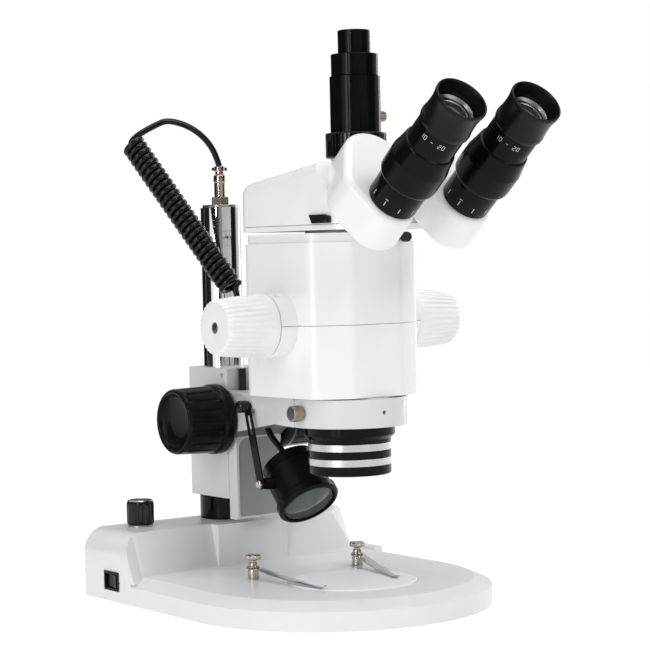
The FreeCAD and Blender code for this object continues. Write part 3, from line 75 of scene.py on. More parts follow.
def add_camera():
    az, pitch, roll = (math.radians(a) for a in (CAMERA_AZIMUTH, CAMERA_PITCH, CAMERA_ROLL))
    toward = Vector((math.sin(az) * math.cos(pitch), math.cos(az) * math.cos(pitch),
                     -math.sin(pitch)))
    across = Vector((math.cos(az), -math.sin(az), 0))
    above = across.cross(toward)
    x_way = across * math.cos(roll) - above * math.sin(roll)
    y_way = across * math.sin(roll) + above * math.cos(roll)
    turn = Matrix((x_way, y_way, -toward)).transposed().to_4x4()
    data = bpy.data.cameras.new("Camera")
    data.lens, data.sensor_width = CAMERA_LENS, CAMERA_SENSOR
    data.clip_start, data.clip_end = 0.05, 30
    camera = bpy.data.objects.new("Camera", data)
    camera.matrix_world = Matrix.Translation(CAMERA_AT) @ turn
    bpy.context.scene.collection.objects.link(camera)
    bpy.context.scene.camera = camera


def add_light(name, at, width, height, power):
    data = bpy.data.lights.new(name, "AREA")
    data.shape, data.size, data.size_y = "RECTANGLE", width, height
    data.energy = power
    lamp = bpy.data.objects.new(name, data)
    way = Vector(LIT_MIDDLE) - Vector(at)
    lamp.matrix_world = Matrix.Translation(at) @ way.to_track_quat("-Z", "Y").to_matrix().to_4x4()
    bpy.context.scene.collection.objects.link(lamp)


LIT_MIDDLE = (0, 0.05, 0.2)
LIGHTS = [  # name, place, width, height, power, in metres and watts
    ("Key", (0.5, -1.6, 1.5), 0.9, 0.7, 12),
    ("Side", (-1.9, -0.45, 0.7), 0.3, 1.4, 6.5),
    ("Strip", (-1.75, -0.9, 0.6), 0.03, 1.6, 5),
    ("Edge", (1.6, 0.5, 0.7), 0.2, 1.5, 5),
    ("Top", (0.0, 0.0, 1.9), 1.2, 1.2, 9.5),
]
# Share of the way round the room and how bright its wall is there. The places were worked out, by
# the law of reflection, from where the upright stripes lie across the chromed pillar in the
# photograph, and the levels follow the tones of those stripes. Both are rounded.
ROOM_BANDS = [
    (0.0, 1.0), (0.060, 1.0), (0.075, 0.03), (0.120, 0.04), (0.140, 0.22), (0.30, 0.45),
    (0.318, 0.01), (0.42, 0.01), (0.445, 0.6), (0.60, 0.7), (0.66, 0.5), (0.68, 0.01),
    (0.84, 0.01), (0.85, 0.2), (0.86, 0.01), (0.965, 0.02), (0.978, 1.0), (1.0, 1.0),
]
CEILING = (0.55, 0.55, 0.56, 1)
CEILING_FROM, CEILING_TO = 0.3, 0.5  # height of the direction where the bands fade into it
FLOOR_SIZE, FLOOR_DROP, FLOOR_GLOW = 4.6, 0.0002, 0.94


def add_world():
    """White to look at; what it lights and reflects is a dim room with darker upright bands."""
    world = bpy.data.worlds.new("World")
    bpy.context.scene.world = world
    world.use_nodes = True
    tree = world.node_tree
    add, link = tree.nodes.new, tree.links.new
    plain = tree.nodes["Background"]
    plain.inputs["Color"].default_value = (1, 1, 1, 1)
    plain.inputs["Strength"].default_value = 1.0
    way = add("ShaderNodeTexCoord")
    parts = add("ShaderNodeSeparateXYZ")
    angle = add("ShaderNodeMath")
    angle.operation = "ARCTAN2"
    share = add("ShaderNodeMapRange")
    share.inputs["From Min"].default_value = -math.pi
    share.inputs["From Max"].default_value = math.pi
    ramp = add("ShaderNodeValToRGB")
    ramp.color_ramp.elements[0].position = 0.0
    ramp.color_ramp.elements[1].position = 1.0
    for place, level in ROOM_BANDS:
        ends = {0.0: 0, 1.0: len(ramp.color_ramp.elements) - 1}
        spot = (ramp.color_ramp.elements[ends[place]] if place in ends
                else ramp.color_ramp.elements.new(place))
        spot.color = (level, level, level * 1.02, 1)
    room = add("ShaderNodeBackground")
    room.inputs["Strength"].default_value = 1.0
    seen = add("ShaderNodeLightPath")
    mix = add("ShaderNodeMixShader")
    link(way.outputs["Generated"], parts.inputs["Vector"])
    link(parts.outputs["Y"], angle.inputs[0])
    link(parts.outputs["X"], angle.inputs[1])
    link(angle.outputs["Value"], share.inputs["Value"])
    link(share.outputs["Result"], ramp.inputs["Fac"])
    high = add("ShaderNodeMapRange")
    high.inputs["From Min"].default_value = CEILING_FROM
    high.inputs["From Max"].default_value = CEILING_TO
    above = add("ShaderNodeMix")
    above.data_type = "RGBA"
    above.inputs[7].default_value = CEILING
    link(parts.outputs["Z"], high.inputs["Value"])
    link(high.outputs["Result"], above.inputs[0])
    link(ramp.outputs["Color"], above.inputs[6])
    link(above.outputs[2], room.inputs["Color"])
    link(seen.outputs["Is Camera Ray"], mix.inputs[0])
    link(room.outputs["Background"], mix.inputs[1])
    link(plain.outputs["Background"], mix.inputs[2])
    link(mix.outputs["Shader"], tree.nodes["World Output"].inputs["Surface"])


def add_studio():
    add_world()
    for light in LIGHTS:
        add_light(*light)
    bpy.ops.mesh.primitive_plane_add(size=FLOOR_SIZE, location=(0, 0, -FLOOR_DROP))
    floor = bpy.context.object
    floor.name = "Floor"
    pale = paint("floor", (0.12, 0.12, 0.12), 0.8, tone=0.01, grain=20,
                 Emission_Color=(1, 1, 1, 1), Emission_Strength=FLOOR_GLOW,
                 Specular_IOR_Level=0.0)
    floor.data.materials.append(pale)
    bpy.context.scene.view_settings.view_transform = "Standard"


# ------------------------------------------------------------ materials


painted = {}


def paint(name, colour, rough, metal=0.0, coat=0.0, grain=300, tone=0.04, bump=0.0, depth=0.02,
          stretch=(1, 1, 1), spread=0.06, fine=0.0, **sockets):
    """Principled surface with fine noise in its colour, roughness and height.

    depth is the height of the bumps in millimetres, fine the scale of their own noise, and any
    further keyword is a socket of the shader with underscores for its spaces.
    """
    if name in painted:
        return painted[name]
    mat = painted[name] = bpy.data.materials.new(name)
    mat.use_nodes = True
    tree = mat.node_tree
    shader = tree.nodes["Principled BSDF"]
    place = tree.nodes.new("ShaderNodeTexCoord")
    scale = tree.nodes.new("ShaderNodeMapping")
    scale.inputs["Scale"].default_value = stretch
    noise = tree.nodes.new("ShaderNodeTexNoise")
    noise.inputs["Scale"].default_value = grain
    noise.inputs["Detail"].default_value = 4
    tree.links.new(place.outputs["Object"], scale.inputs["Vector"])
    tree.links.new(scale.outputs["Vector"], noise.inputs["Vector"])
    ramp = tree.nodes.new("ShaderNodeValToRGB")
    ramp.color_ramp.elements[0].position, ramp.color_ramp.elements[1].position = 0.3, 0.7
    ramp.color_ramp.elements[0].color = (*[c * (1 - tone) for c in colour[:3]], 1)
    ramp.color_ramp.elements[1].color = (*[min(1, c * (1 + tone / 2)) for c in colour[:3]], 1)
    tree.links.new(noise.outputs["Fac"], ramp.inputs["Fac"])
    tree.links.new(ramp.outputs["Color"], shader.inputs["Base Color"])
    sheen = tree.nodes.new("ShaderNodeMapRange")
    sheen.inputs["To Min"].default_value = max(0.01, rough - spread)
    sheen.inputs["To Max"].default_value = min(1, rough + spread)
    tree.links.new(noise.outputs["Fac"], sheen.inputs["Value"])
    tree.links.new(sheen.outputs["Result"], shader.inputs["Roughness"])
    shader.inputs["Metallic"].default_value = metal
    shader.inputs["Coat Weight"].default_value = coat
    if bump:
        height = tree.nodes.new("ShaderNodeBump")
        height.inputs["Strength"].default_value = bump
        height.inputs["Distance"].default_value = depth * MM
        source = noise
        if fine:
            source = tree.nodes.new("ShaderNodeTexNoise")
            source.inputs["Scale"].default_value = fine
            tree.links.new(place.outputs["Object"], source.inputs["Vector"])
        tree.links.new(source.outputs["Fac"], height.inputs["Height"])
        tree.links.new(height.outputs["Normal"], shader.inputs["Normal"])
    for socket, size in sockets.items():
        shader.inputs[socket.replace("_", " ")].default_value = size
    return mat


SKIN = {
    "base_paint": lambda: paint("base paint", (0.80, 0.81, 0.82), 0.34, coat=0.25, grain=60,
                                tone=0.02, bump=0.25, depth=0.06, fine=700),
    "arm_paint": lambda: paint("arm paint", (0.70, 0.715, 0.73), 0.36, coat=0.2, grain=80,
                               tone=0.02, bump=0.25, depth=0.05, fine=900),
    "white_plastic": lambda: paint("white plastic", (0.90, 0.90, 0.89), 0.3, coat=0.3, grain=50,
                                   tone=0.012, bump=0.12, depth=0.03, fine=500),
    "stage": lambda: paint("stage plate", (0.94, 0.94, 0.93), 0.45, grain=120, tone=0.02,
                           bump=0.2, depth=0.03, fine=1200),
    "rubber": lambda: paint("feet rubber", (0.02, 0.02, 0.02), 0.8, grain=500, bump=0.4),
    "eyecup_rubber": lambda: paint("eyecup rubber", (0.006, 0.006, 0.0065), 0.3, grain=350,
                                   tone=0.2, bump=0.12, depth=0.03, fine=1800,
                                   Specular_IOR_Level=0.2),
    "black_plastic": lambda: paint("black plastic", (0.006, 0.0065, 0.0065), 0.2, grain=250,
                                   tone=0.2, bump=0.04, depth=0.01, fine=1500,
                                   spread=0.02, Specular_IOR_Level=0.1),
    "gloss_black": lambda: paint("gloss black", (0.004, 0.004, 0.0045), 0.13, coat=0.0,
                                 grain=150, tone=0.2, bump=0.05, Specular_IOR_Level=0.35),
    "black_metal": lambda: paint("black enamel", (0.004, 0.0045, 0.0045), 0.14,
                                 grain=200, tone=0.2, bump=0.03, depth=0.01, fine=1200,
                                 spread=0.02, Specular_IOR_Level=0.12),
    "lamp_black": lambda: paint("lamp black", (0.007, 0.007, 0.007), 0.24, grain=250,
                                tone=0.2, bump=0.05, depth=0.01, fine=1500,
                                spread=0.02, Specular_IOR_Level=0.1),
    "black_steel": lambda: paint("blackened steel", (0.010, 0.010, 0.011), 0.22, grain=400,
                                 tone=0.25, bump=0.05, Specular_IOR_Level=0.4),
    "chrome": lambda: paint("chrome", (0.82, 0.83, 0.84), 0.06, metal=1, grain=40, tone=0.01,
                            spread=0.02),
    "nickel": lambda: paint("nickel", (0.50, 0.46, 0.39), 0.16, metal=1, grain=300, tone=0.05,
                            bump=0.03),
    "spring_steel": lambda: paint("spring steel", (0.62, 0.65, 0.70), 0.16, metal=1, grain=60,
                                  tone=0.06, stretch=(30, 1, 1), bump=0.1, depth=0.01),
    "steel": lambda: paint("machined steel", (0.48, 0.49, 0.5), 0.28, metal=1, grain=80,
                           stretch=(1, 1, 20), tone=0.08, bump=0.1),
    "brass": lambda: paint("turned brass", (0.38, 0.35, 0.26), 0.3, metal=1, grain=250, tone=0.12,
                           bump=0.05),
    "aluminium": lambda: paint("brushed aluminium", (0.70, 0.71, 0.72), 0.24, metal=1, grain=6,
                               stretch=(1, 1, 400), tone=0.14, spread=0.03),
    "lens_carrier": lambda: paint("lens carrier", (0.03, 0.03, 0.03), 0.5, metal=0.5, bump=0.1),
    "optical_glass": lambda: paint("coated lens", (0.055, 0.06, 0.075), 0.05, metal=0.35,
                                   coat=1.0, grain=60, tone=0.3, spread=0.01),
    "lamp_glass": lambda: paint("lamp glass", (0.55, 0.63, 0.58), 0.04, grain=20, tone=0.03,
                                spread=0.01, Transmission_Weight=0.75, IOR=1.35),
    "circuit_board": lambda: paint("circuit board", (0.03, 0.2, 0.08), 0.4, bump=0.2),
    "cord": lambda: paint("cord jacket", (0.004, 0.004, 0.004), 0.12, grain=60,
                          tone=0.1, spread=0.01, Specular_IOR_Level=0.3),
}


def skin(slot):
    return SKIN[slot]()


def print_white():
    return paint("white print", (0.75, 0.76, 0.76), 0.5, grain=900, tone=0.1)


# ------------------------------------------------------------ mesh helpers


def finish_piece(name, mesh, body, slot, mat=None, angle=32, swaps=()):
    mesh.materials.append(mat or skin(slot))
    mesh.shade_smooth()
    mesh.set_sharp_from_angle(angle=math.radians(angle))
    piece = bpy.data.objects.new(name, mesh)
    bpy.context.scene.collection.objects.link(piece)
    if swaps:
        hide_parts(*swaps)
    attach(piece, body)
    return piece


def soften_edges(piece, width, limit, segments=3, harden=True):
    edge = piece.modifiers.new("Soft edges", "BEVEL")
    edge.width, edge.segments = width * MM, segments
    edge.limit_method, edge.angle_limit = "ANGLE", math.radians(limit)
    edge.use_clamp_overlap = True
    edge.harden_normals = harden


def repaint(mesh, mat, chosen):
    """Gives the faces that chosen() picks a material of their own."""
    mesh.materials.append(mat)
    for face in mesh.polygons:
        if chosen(face):
            face.material_index = 1


def mesh_from(name, verts, faces):
    mesh = bpy.data.meshes.new(name)
    mesh.from_pydata([tuple(v) for v in verts], [], faces)
    bm = bmesh.new()
    bm.from_mesh(mesh)
    bmesh.ops.recalc_face_normals(bm, faces=bm.faces)
    bm.to_mesh(mesh)
    bm.free()
    return mesh


def rounded(profile, radius=0.35, steps=3):
    """Rounds the corners of a lathe profile of (radius, height, rib depth)."""
    points = [(*p, 0.0) if len(p) == 2 else p for p in profile]
    out = [points[0]]
    for a, b, c in zip(points, points[1:], points[2:]):
        va, vb, vc = Vector(a[:2]), Vector(b[:2]), Vector(c[:2])
        trim = min(radius, 0.4 * (va - vb).length, 0.4 * (vc - vb).length)
        if trim < 0.02 or (va - vb).angle(vc - vb, math.pi) > math.radians(172):
            out.append(b)
            continue
        start, end = vb + (va - vb).normalized() * trim, vb + (vc - vb).normalized() * trim
        for i in range(steps + 1):
            t = i / steps
            spot = start * (1 - t) ** 2 + vb * 2 * t * (1 - t) + end * t ** 2
            out.append((spot.x, spot.y, b[2]))
    out.append(points[-1])
    return out


def scallops(phase):
    """Depth of a rib's cut, 0 to 1, for a rib that runs in one smooth wave."""
    return 0.5 - 0.5 * math.cos(2 * math.pi * phase)


def grooves(phase, half=0.16, edge=0.08):
    """Depth of a rib's cut, 0 to 1, for a narrow groove between wide flats."""
    away = abs(phase - 0.5)
    return max(0.0, min(1.0, (half + edge - away) / edge))


def axes_about(axis):
    n = Vector(axis).normalized()
    ref = UP if abs(n.z) < 0.9 else RIGHT
    u = (ref - n * ref.dot(n)).normalized()
    return u, n.cross(u), n


def lathe_mesh(name, profile, at, axis, steps=96, ribs=0, cut=scallops, soften=0.35):
    """Turned mesh; profile points may carry a third number, how deep the ribs are cut there."""
    u, v, n = axes_about(axis)
    points = rounded(profile, soften) if soften else [(*p, 0.0)[:3] for p in profile]
    centre = Vector(at)
    verts, faces, rings = [], [], []
    for radius, height, depth in points:
        base = centre + n * height
        if radius < 1e-6:
            rings.append([len(verts)])
            verts.append(base * MM)
            continue
        ring = []
        for i in range(steps):
            a = 2 * math.pi * i / steps
            r = radius - (depth * cut((i * ribs / steps) % 1.0) if ribs else 0.0)
            ring.append(len(verts))
            verts.append((base + u * (r * math.cos(a)) + v * (r * math.sin(a))) * MM)
        rings.append(ring)
    pairs = list(zip(rings, rings[1:]))
    if len(rings[0]) > 1 and len(rings[-1]) > 1:
        pairs.append((rings[-1], rings[0]))
    for a, b in pairs:
        for i in range(steps):
            j = (i + 1) % steps
            if len(a) == 1 and len(b) > 1:
                faces.append((a[0], b[i], b[j]))
            elif len(b) == 1 and len(a) > 1:
                faces.append((a[i], a[j], b[0]))
            elif len(a) > 1 and len(b) > 1:
                faces.append((a[i], a[j], b[j], b[i]))
    return mesh_from(name, verts, faces)


def lathe(name, profile, at, axis, body, slot, mat=None, swaps=(), angle=32, **kw):
    return finish_piece(name, lathe_mesh(name, profile, at, axis, **kw), body, slot, mat, angle,
                        swaps)


def join_meshes(name, meshes):
    bm = bmesh.new()
    for mesh in meshes:
        bm.from_mesh(mesh)
        bpy.data.meshes.remove(mesh)
    out = bpy.data.meshes.new(name)
    bm.to_mesh(out)
    bm.free()
    return out


BOARD_TOP = 53.9  # the power board's faces above this height are steel
ARM_PAINTED_SHADE_ABOVE = 118  # the arm's downward faces above this height are its underside, which gets painted shade


def dress(node, bevel=0.0, limit=30):
    """A welded copy of a CAD node with softened edges and its procedural finish."""
    source = nodes[node]
    bm = bmesh.new()
    bm.from_mesh(source.data)
    bmesh.ops.remove_doubles(bm, verts=bm.verts, dist=2e-6)
    bmesh.ops.dissolve_limit(bm, angle_limit=math.radians(0.6), verts=bm.verts, edges=bm.edges)
    bmesh.ops.recalc_face_normals(bm, faces=bm.faces)
    mesh = bpy.data.meshes.new(f"{node}_skin")
    bm.to_mesh(mesh)
    bm.free()
    piece = finish_piece(f"{node}_skin", mesh, body_of[node], slot_of[node],
                         swaps=(node,))
    if node == "dimmer_board":
        repaint(mesh, skin("steel"), lambda face: face.center.z > BOARD_TOP * MM)
    if node == "ring_arm":
        # Painted shade: the arm's underside faces get a dark grey paint for the shade under the
        # arm, which the glowing floor would otherwise light.
        under = paint("arm underside painted shade", (0.13, 0.135, 0.14), 0.4, grain=80, tone=0.05)
        repaint(mesh, under, lambda f: f.normal.z < -0.3 and f.center.z > ARM_PAINTED_SHADE_ABOVE * MM)
    if bevel:
        soften_edges(piece, bevel, limit)


PRINT_LIFT = 0.05


def patch(name, corners, radius, at, axis, body, mat):
    """Printed marks wrapped on a cylinder: corners are lists of (angle, height) outlines."""
    u, v, n = axes_about(axis)
    verts, faces = [], []
    for outline in corners:
        start = len(verts)
        for angle, height in outline:
            out = u * math.cos(angle) + v * math.sin(angle)
            verts.append((Vector(at) + n * height + out * (radius + PRINT_LIFT)) * MM)
        faces.append(tuple(range(start, start + len(outline))))
    mesh = bpy.data.meshes.new(name)
    mesh.from_pydata([tuple(p) for p in verts], [], faces)
    finish_piece(name, mesh, body, "white_plastic", mat)


def bar(angle, height, wide, tall, radius):
    """Outline of one upright mark, wide and tall in millimetres, centred on an angle."""
    half = wide / 2 / radius
    return [(angle - half, height), (angle + half, height), (angle + half, height + tall),
            (angle - half, height + tall)]


DIGIT_BARS = {"0": "abcdef", "1": "bc", "2": "abged", "-": "g"}


def digit(char, angle, height, wide, tall, radius, line):
    """Seven-bar digit as thin bars; the reading direction runs along the angle."""
    w, half_line, out = wide / radius, line / 2 / radius, []
    level = {"a": tall, "g": tall / 2, "d": 0}
    upright = {"f": (0, tall / 2), "b": (w, tall / 2), "e": (0, 0), "c": (w, 0)}
    for key in DIGIT_BARS[char]:
        if key in level:
            low, high = height + level[key] - line / 2, height + level[key] + line / 2
            out.append([(angle, low), (angle + w, low), (angle + w, high), (angle, high)])
        else:
            along, rise = upright[key]
            a, low, high = angle + along, height + rise, height + rise + tall / 2
            out.append([(a - half_line, low), (a + half_line, low), (a + half_line, high),
                        (a - half_line, high)])
    return out


# ------------------------------------------------------------ pieces


def zoom_knobs():
    at = joint_at["zoom_turn"]
    profile = [
        (4.2, 64.4), (23.0, 64.4), (23.6, 65.1), (23.6, 67.2), (23.5, 68.8, 0.05),
        (23.3, 71.5, 0.4), (23.0, 77, 0.75), (22.4, 87, 0.95), (21.5, 97, 1.05),
        (20.7, 104, 1.1), (20.1, 106.2, 1.1), (19.4, 107.15, 1.0), (17.5, 107.2), (4.4, 107.2),
        (4.2, 106.9), (4.2, 103),
    ]
    sides = [lathe_mesh("side", profile, at, way, steps=408, ribs=34) for way in (LEFT, RIGHT)]
    finish_piece("zoom_knob_grips", join_meshes("zoom_knob_grips", sides), "zoom",
                 "white_plastic", swaps=("zoom_knobs",))
    old_brass = paint("old brass", (0.20, 0.18, 0.13), 0.3, metal=1, grain=300, tone=0.2)
    for name, way in (("left", LEFT), ("right", RIGHT)):
        lathe(f"zoom_screw_{name}", [(0, 104), (3.9, 104), (3.9, 106.4), (3.3, 107), (0, 107)],
              at, way, "zoom", "brass", old_brass, steps=48)
        slot_box(f"zoom_screw_slot_{name}", at + way * 106.95, (0.7, 6.2), way, "zoom")


BOX_FACES = [(0, 1, 2, 3), (4, 5, 6, 7), (0, 1, 5, 4), (1, 2, 6, 5), (2, 3, 7, 6), (3, 0, 4, 7)]
SLOT_TILT, SLOT_HEIGHT = 0.5, 0.12


def slot_box(name, middle, size, way, body):
    """The dark slot of a screw: a shallow bar lying on the head."""
    u, v, n = axes_about(way)
    a = u * math.cos(SLOT_TILT) + v * math.sin(SLOT_TILT)
    b = n.cross(a)
    verts, w, t = [], size[0] / 2, size[1] / 2
    for k in (0.0, SLOT_HEIGHT):
        for x, y in ((-w, -t), (w, -t), (w, t), (-w, t)):
            verts.append((middle + a * x + b * y + n * k) * MM)
    finish_piece(name, mesh_from(name, verts, BOX_FACES), body, "black_steel")


def focus_knobs():
    at = joint_at["focus_turn"]
    profile = [
        (5.2, 24.5), (26.6, 24.5), (27.6, 25.2), (28, 26.6), (28, 31.5), (27.7, 32.8),
        (26.7, 34.6), (26.5, 35.4), (26.5, 37.4, 0.2), (26.5, 38.6, 1.0), (26.2, 50, 1.0),
        (25.9, 61.0, 1.0), (25.8, 62.2, 0.2), (25.8, 64.6), (25.4, 66.0), (24.6, 67.0),
        (23.6, 67.5), (22.6, 67.2), (21.8, 66.3), (21.0, 64.6), (19.5, 63.0), (17, 61.8),
        (13, 61.0), (6, 60.7), (0, 60.7),
    ]
    for way, side in ((LEFT, "left"), (RIGHT, "right")):
        swaps = ("focus_knobs",) if side == "left" else ()
        lathe(f"focus_knob_{side}", profile, at, way, "focus", "black_plastic", steps=432,
              ribs=18, cut=lambda p: grooves(p, 0.07, 0.07), swaps=swaps)


def dimmer_knob():
    at = axis_foot("dimmer_turn", UP)
    profile = [
        (0, 55.3), (9.9, 55.3), (10.5, 56, 0.3), (10.7, 57.2, 0.8), (10.8, 70.6, 0.8),
        (10.7, 72.4, 0.5), (10.0, 73.8, 0.1), (9.4, 74.5), (8.2, 74.6), (7.9, 74.1), (0, 74.1),
    ]
    lathe("dimmer_knob_grip", profile, at, UP, "dimmer", "gloss_black", steps=288, ribs=12,
          cut=lambda p: grooves(p, 0.14, 0.14), swaps=("dimmer_knob",))
    lathe("dimmer_knob_rim", [(9.4, 74.45), (9.5, 74.62), (10.05, 73.95), (9.9, 73.8)], at, UP,
          "dimmer", "aluminium", steps=96, soften=0)


def knurled(name, profile, at, way, body, slot, ribs, swaps, cut=scallops):
    lathe(name, profile, at, way, body, slot, steps=ribs * 8, ribs=ribs, cut=cut, swaps=swaps)


def small_knobs():
    port = axis_foot("port_ring_turn", UP)
    ring_lock = axis_foot("ring_lock_turn", LEFT)
    knurled("port_ring_grip", [
        (11.5, 337.3), (22.1, 337.3), (22.8, 338.2, 0.2), (22.8, 339.2, 0.8), (22.8, 354.4, 0.8),
        (22.8, 355.2, 0.1), (22.3, 356), (11.5, 356)], port, UP, "port_ring",
        "gloss_black", 44, ("photo_port_ring",), cut=grooves)
    knurled("ring_lock_grip", [
        (0, 38.9), (2.5, 38.9), (2.5, 44.5), (5.4, 44.5), (6, 45.2, 0.3), (6, 52.3, 0.3),
        (5.4, 53.0), (5.0, 53.15), (0, 53.15)], ring_lock, LEFT, "ring_lock", "brass", 26,
        ("ring_lock_knob",))
    lathe("ring_lock_face", [(0, 52.9), (5.0, 52.9), (5.0, 53.0), (4.6, 53.2), (0, 53.2)],
          ring_lock, LEFT, "ring_lock", "brass",
          paint("gunmetal", (0.11, 0.11, 0.11), 0.3, metal=0.7, grain=300, tone=0.2), steps=64)
    knurled("port_screw_grip", [
        (0, 16), (2, 16), (2, 19.7), (3, 19.7), (3, 20.6), (3.9, 20.8, 0.3), (4, 21.3, 0.4),
        (4, 26.2, 0.4), (3.5, 26.9), (0, 26.9)],
        port + UP * joint_at["port_screw_turn"].z, RIGHT, "port_screw", "brass", 22,
        ("photo_port_screw",))
    knurled("head_lock_grip", [
        (0, 30), (1.8, 30), (1.8, 37), (2.6, 37), (2.6, 38.3), (3.7, 38.8, 0.2), (3.8, 39.4, 0.3),
        (3.8, 43.4, 0.3), (3.3, 44.4), (0, 44.6)], axis_foot("head_lock_turn", FRONT), FRONT,
        "head_lock", "black_steel", 22, ("head_lock_screw",))
    for side in ("left", "right"):
        swaps = ("clip_posts",) if side == "left" else ()
        knurled(f"clip_post_{side}", [
            (0, 13), (2, 13), (2, 21), (4.3, 21), (4.4, 21.3), (4.4, 28.4), (3, 28.7),
            (3, 29.9), (4.9, 29.9), (5, 30.3), (5, 30.9), (3.7, 31.1), (3.7, 33.4), (2.6, 33.8),
            (2.6, 35.2), (5.4, 35.8), (6, 36.4, 0.3), (6, 38.6, 0.3), (5.5, 39.3), (4.6, 39.6),
            (0, 39.5)], axis_foot(f"{side}_clip_swing", UP), UP, "base", "nickel", 30, swaps)


def stage_clips():
    """Spring leaves; each station is how far from the post, how high and how wide to each side."""
    stations = [
        (-6, 29.3, 2.2), (-4, 29.3, 4.6), (0, 29.3, 6.0), (4, 29.3, 5.6), (9, 28.9, 4.5),
        (16, 28.1, 4.3), (24, 26.9, 4.6), (30, 26.3, 4.4), (38, 25.6, 4.2), (46, 24.8, 4.4),
        (53, 24.4, 4.2), (57, 24.0, 3.1), (62, 23.5, 2.7), (70, 23.0, 2.5), (77, 22.7, 2.4),
        (80, 23.0, 2.3), (82, 23.7, 2.2), (83.6, 24.6, 2.0),
    ]
    for side, swing in (("left", 4.9), ("right", -15.5)):
        turn = math.radians(swing)
        along = Vector((math.sin(turn), -math.cos(turn), 0))
        across = Vector((along.y, -along.x, 0))
        at = axis_foot(f"{side}_clip_swing", UP)
        verts, faces = [], []
        for reach, high, half in stations:
            for k in (-1, -0.5, 0, 0.5, 1):
                crown = 0.25 * (1 - k * k)
                verts.append((at + along * reach + across * (k * half)
                              + UP * (high + crown)) * MM)
        for i in range(len(stations) - 1):
            for k in range(4):
                a = i * 5 + k
                faces.append((a, a + 1, a + 6, a + 5))
        piece = finish_piece(f"{side}_clip_leaf", mesh_from(f"{side}_clip_leaf", verts, faces),
                             f"{side}_clip", "spring_steel", angle=60,
                             swaps=(f"{side}_stage_clip",))
        smooth = piece.modifiers.new("Smooth", "SUBSURF")
        smooth.levels = smooth.render_levels = 2
        thick = piece.modifiers.new("Thick", "SOLIDIFY")
        thick.thickness, thick.offset = 0.55 * MM, 0


def eyepieces():
    for side in ("left", "right"):
        at = joint_at[f"{side}_diopter_turn"]
        ring, barrel = 18.5, 17.6
        lathe(f"{side}_diopter_grip", [
            (12.6, -10), (14.5, -10), (14.5, 0.3), (18.2, 0.3), (18.5, 0.8), (18.5, 20.6),
            (18.2, 21.5), (12.6, 21.5)], at, EYE_WAY, f"{side}_diopter", "black_metal",
            steps=128, swaps=(f"{side}_diopter_ring",))
        lathe(f"{side}_ocular_barrel", [
            (11, -8), (12.5, -8), (12.5, 21.8), (18.6, 21.8), (20.6, 22.8), (21.4, 24.2),
            (21.55, 26, 0.0), (21.6, 27, 0.1), (21.6, 41, 0.1), (21.55, 42, 0.0), (20.2, 48.2),
            (19.2, 55.4), (18.6, 56.4), (17.6, 56.8), (17.6, 83.5), (15.2, 83.5), (15.2, 86),
            (14.4, 88.3), (13.6, 88.5), (13.2, 87.6), (12.5, 87.5), (12.5, 84.5), (11, 84.5)], at,
            EYE_WAY, f"{side}_ocular", "black_metal", steps=400, ribs=100,
            swaps=(f"{side}_eyepiece",))
        lathe(f"{side}_eyecup_rubber", [
            (17.62, 76), (18.4, 76), (18.8, 76.8), (18.9, 79), (18.2, 82.5), (17.9, 88),
            (18.0, 92.5), (18.6, 96.5), (19.15, 98.8), (19.2, 100.4), (18.9, 101.3),
            (18.3, 101.5), (17.8, 101.2), (17.1, 98.5), (16.2, 94), (15.6, 90), (15.4, 84),
            (17.62, 83.8)], at, EYE_WAY,
            f"{side}_ocular", "eyecup_rubber", steps=128, swaps=(f"{side}_eyecup",))
        lathe(f"{side}_eye_glass", [
            (0, 86.5), (12.2, 86.5), (12.2, 88.2), (10, 89.4), (7, 90.2), (3.5, 90.6),
            (0, 90.7)], at, EYE_WAY, f"{side}_ocular", "optical_glass", steps=96, soften=0.6,
            swaps=(f"{side}_eye_lens",), angle=50)
        lathe(f"{side}_lens_ring", [(12.3, 87.4), (14.2, 87.4), (14.6, 90.4), (13.8, 91.2),
                                    (12.35, 89.2)], at, EYE_WAY, f"{side}_ocular", "steel",
              steps=96, soften=0.1)
        marks = [bar(math.radians(85 + 36 * i), 5.2, 0.42, 4.2, ring) for i in range(9)]
        marks.append(bar(math.radians(121), 10.6, 2.4, 0.45, ring))
        patch(f"{side}_diopter_marks", marks, ring, at, EYE_WAY, f"{side}_diopter",
              print_white())
        words, angle = [], math.radians(100)
        for char in "10 - 20":
            if char != " ":
                words += digit(char, angle, 68.5, 1.6, 3.2, barrel, line=0.3)
            angle += 0.165
        patch(f"{side}_ocular_digits", words, barrel, at, EYE_WAY, f"{side}_ocular",
              print_white())


# The cord's middle line, from the plug to the coil and from the coil to the lamp.
LEAD = [
    (0, 170, 339.5), (-2.5, 170.6, 348), (-8, 171.9, 358), (-17, 174, 367), (-29, 176.9, 373.6),
    (-43, 180.2, 376.4), (-57, 183.5, 375.4), (-70, 186.6, 373), (-79, 188.7, 366.5),
]
TAIL = [
    (-22, 106.5, 229), (-17, 102, 217), (-11, 100, 203), (-6.5, 101, 188), (-4, 103, 172),
    (-4, 104, 157), (-4, 104.4, 142), (-3.9, 103.4, 129), (-1.9, 96.8, 120.2),
    (0, 89.74, 114.03), (0, 82.65, 106.15),
]


COIL_START, COIL_END = Vector((-74, 186.6, 361)), Vector((-26, 112, 238))
COIL_RADIUS, COIL_PHASE, COIL_MARGIN = 7.45, 2.2, 2.6
CORD_DIAMETER = 5


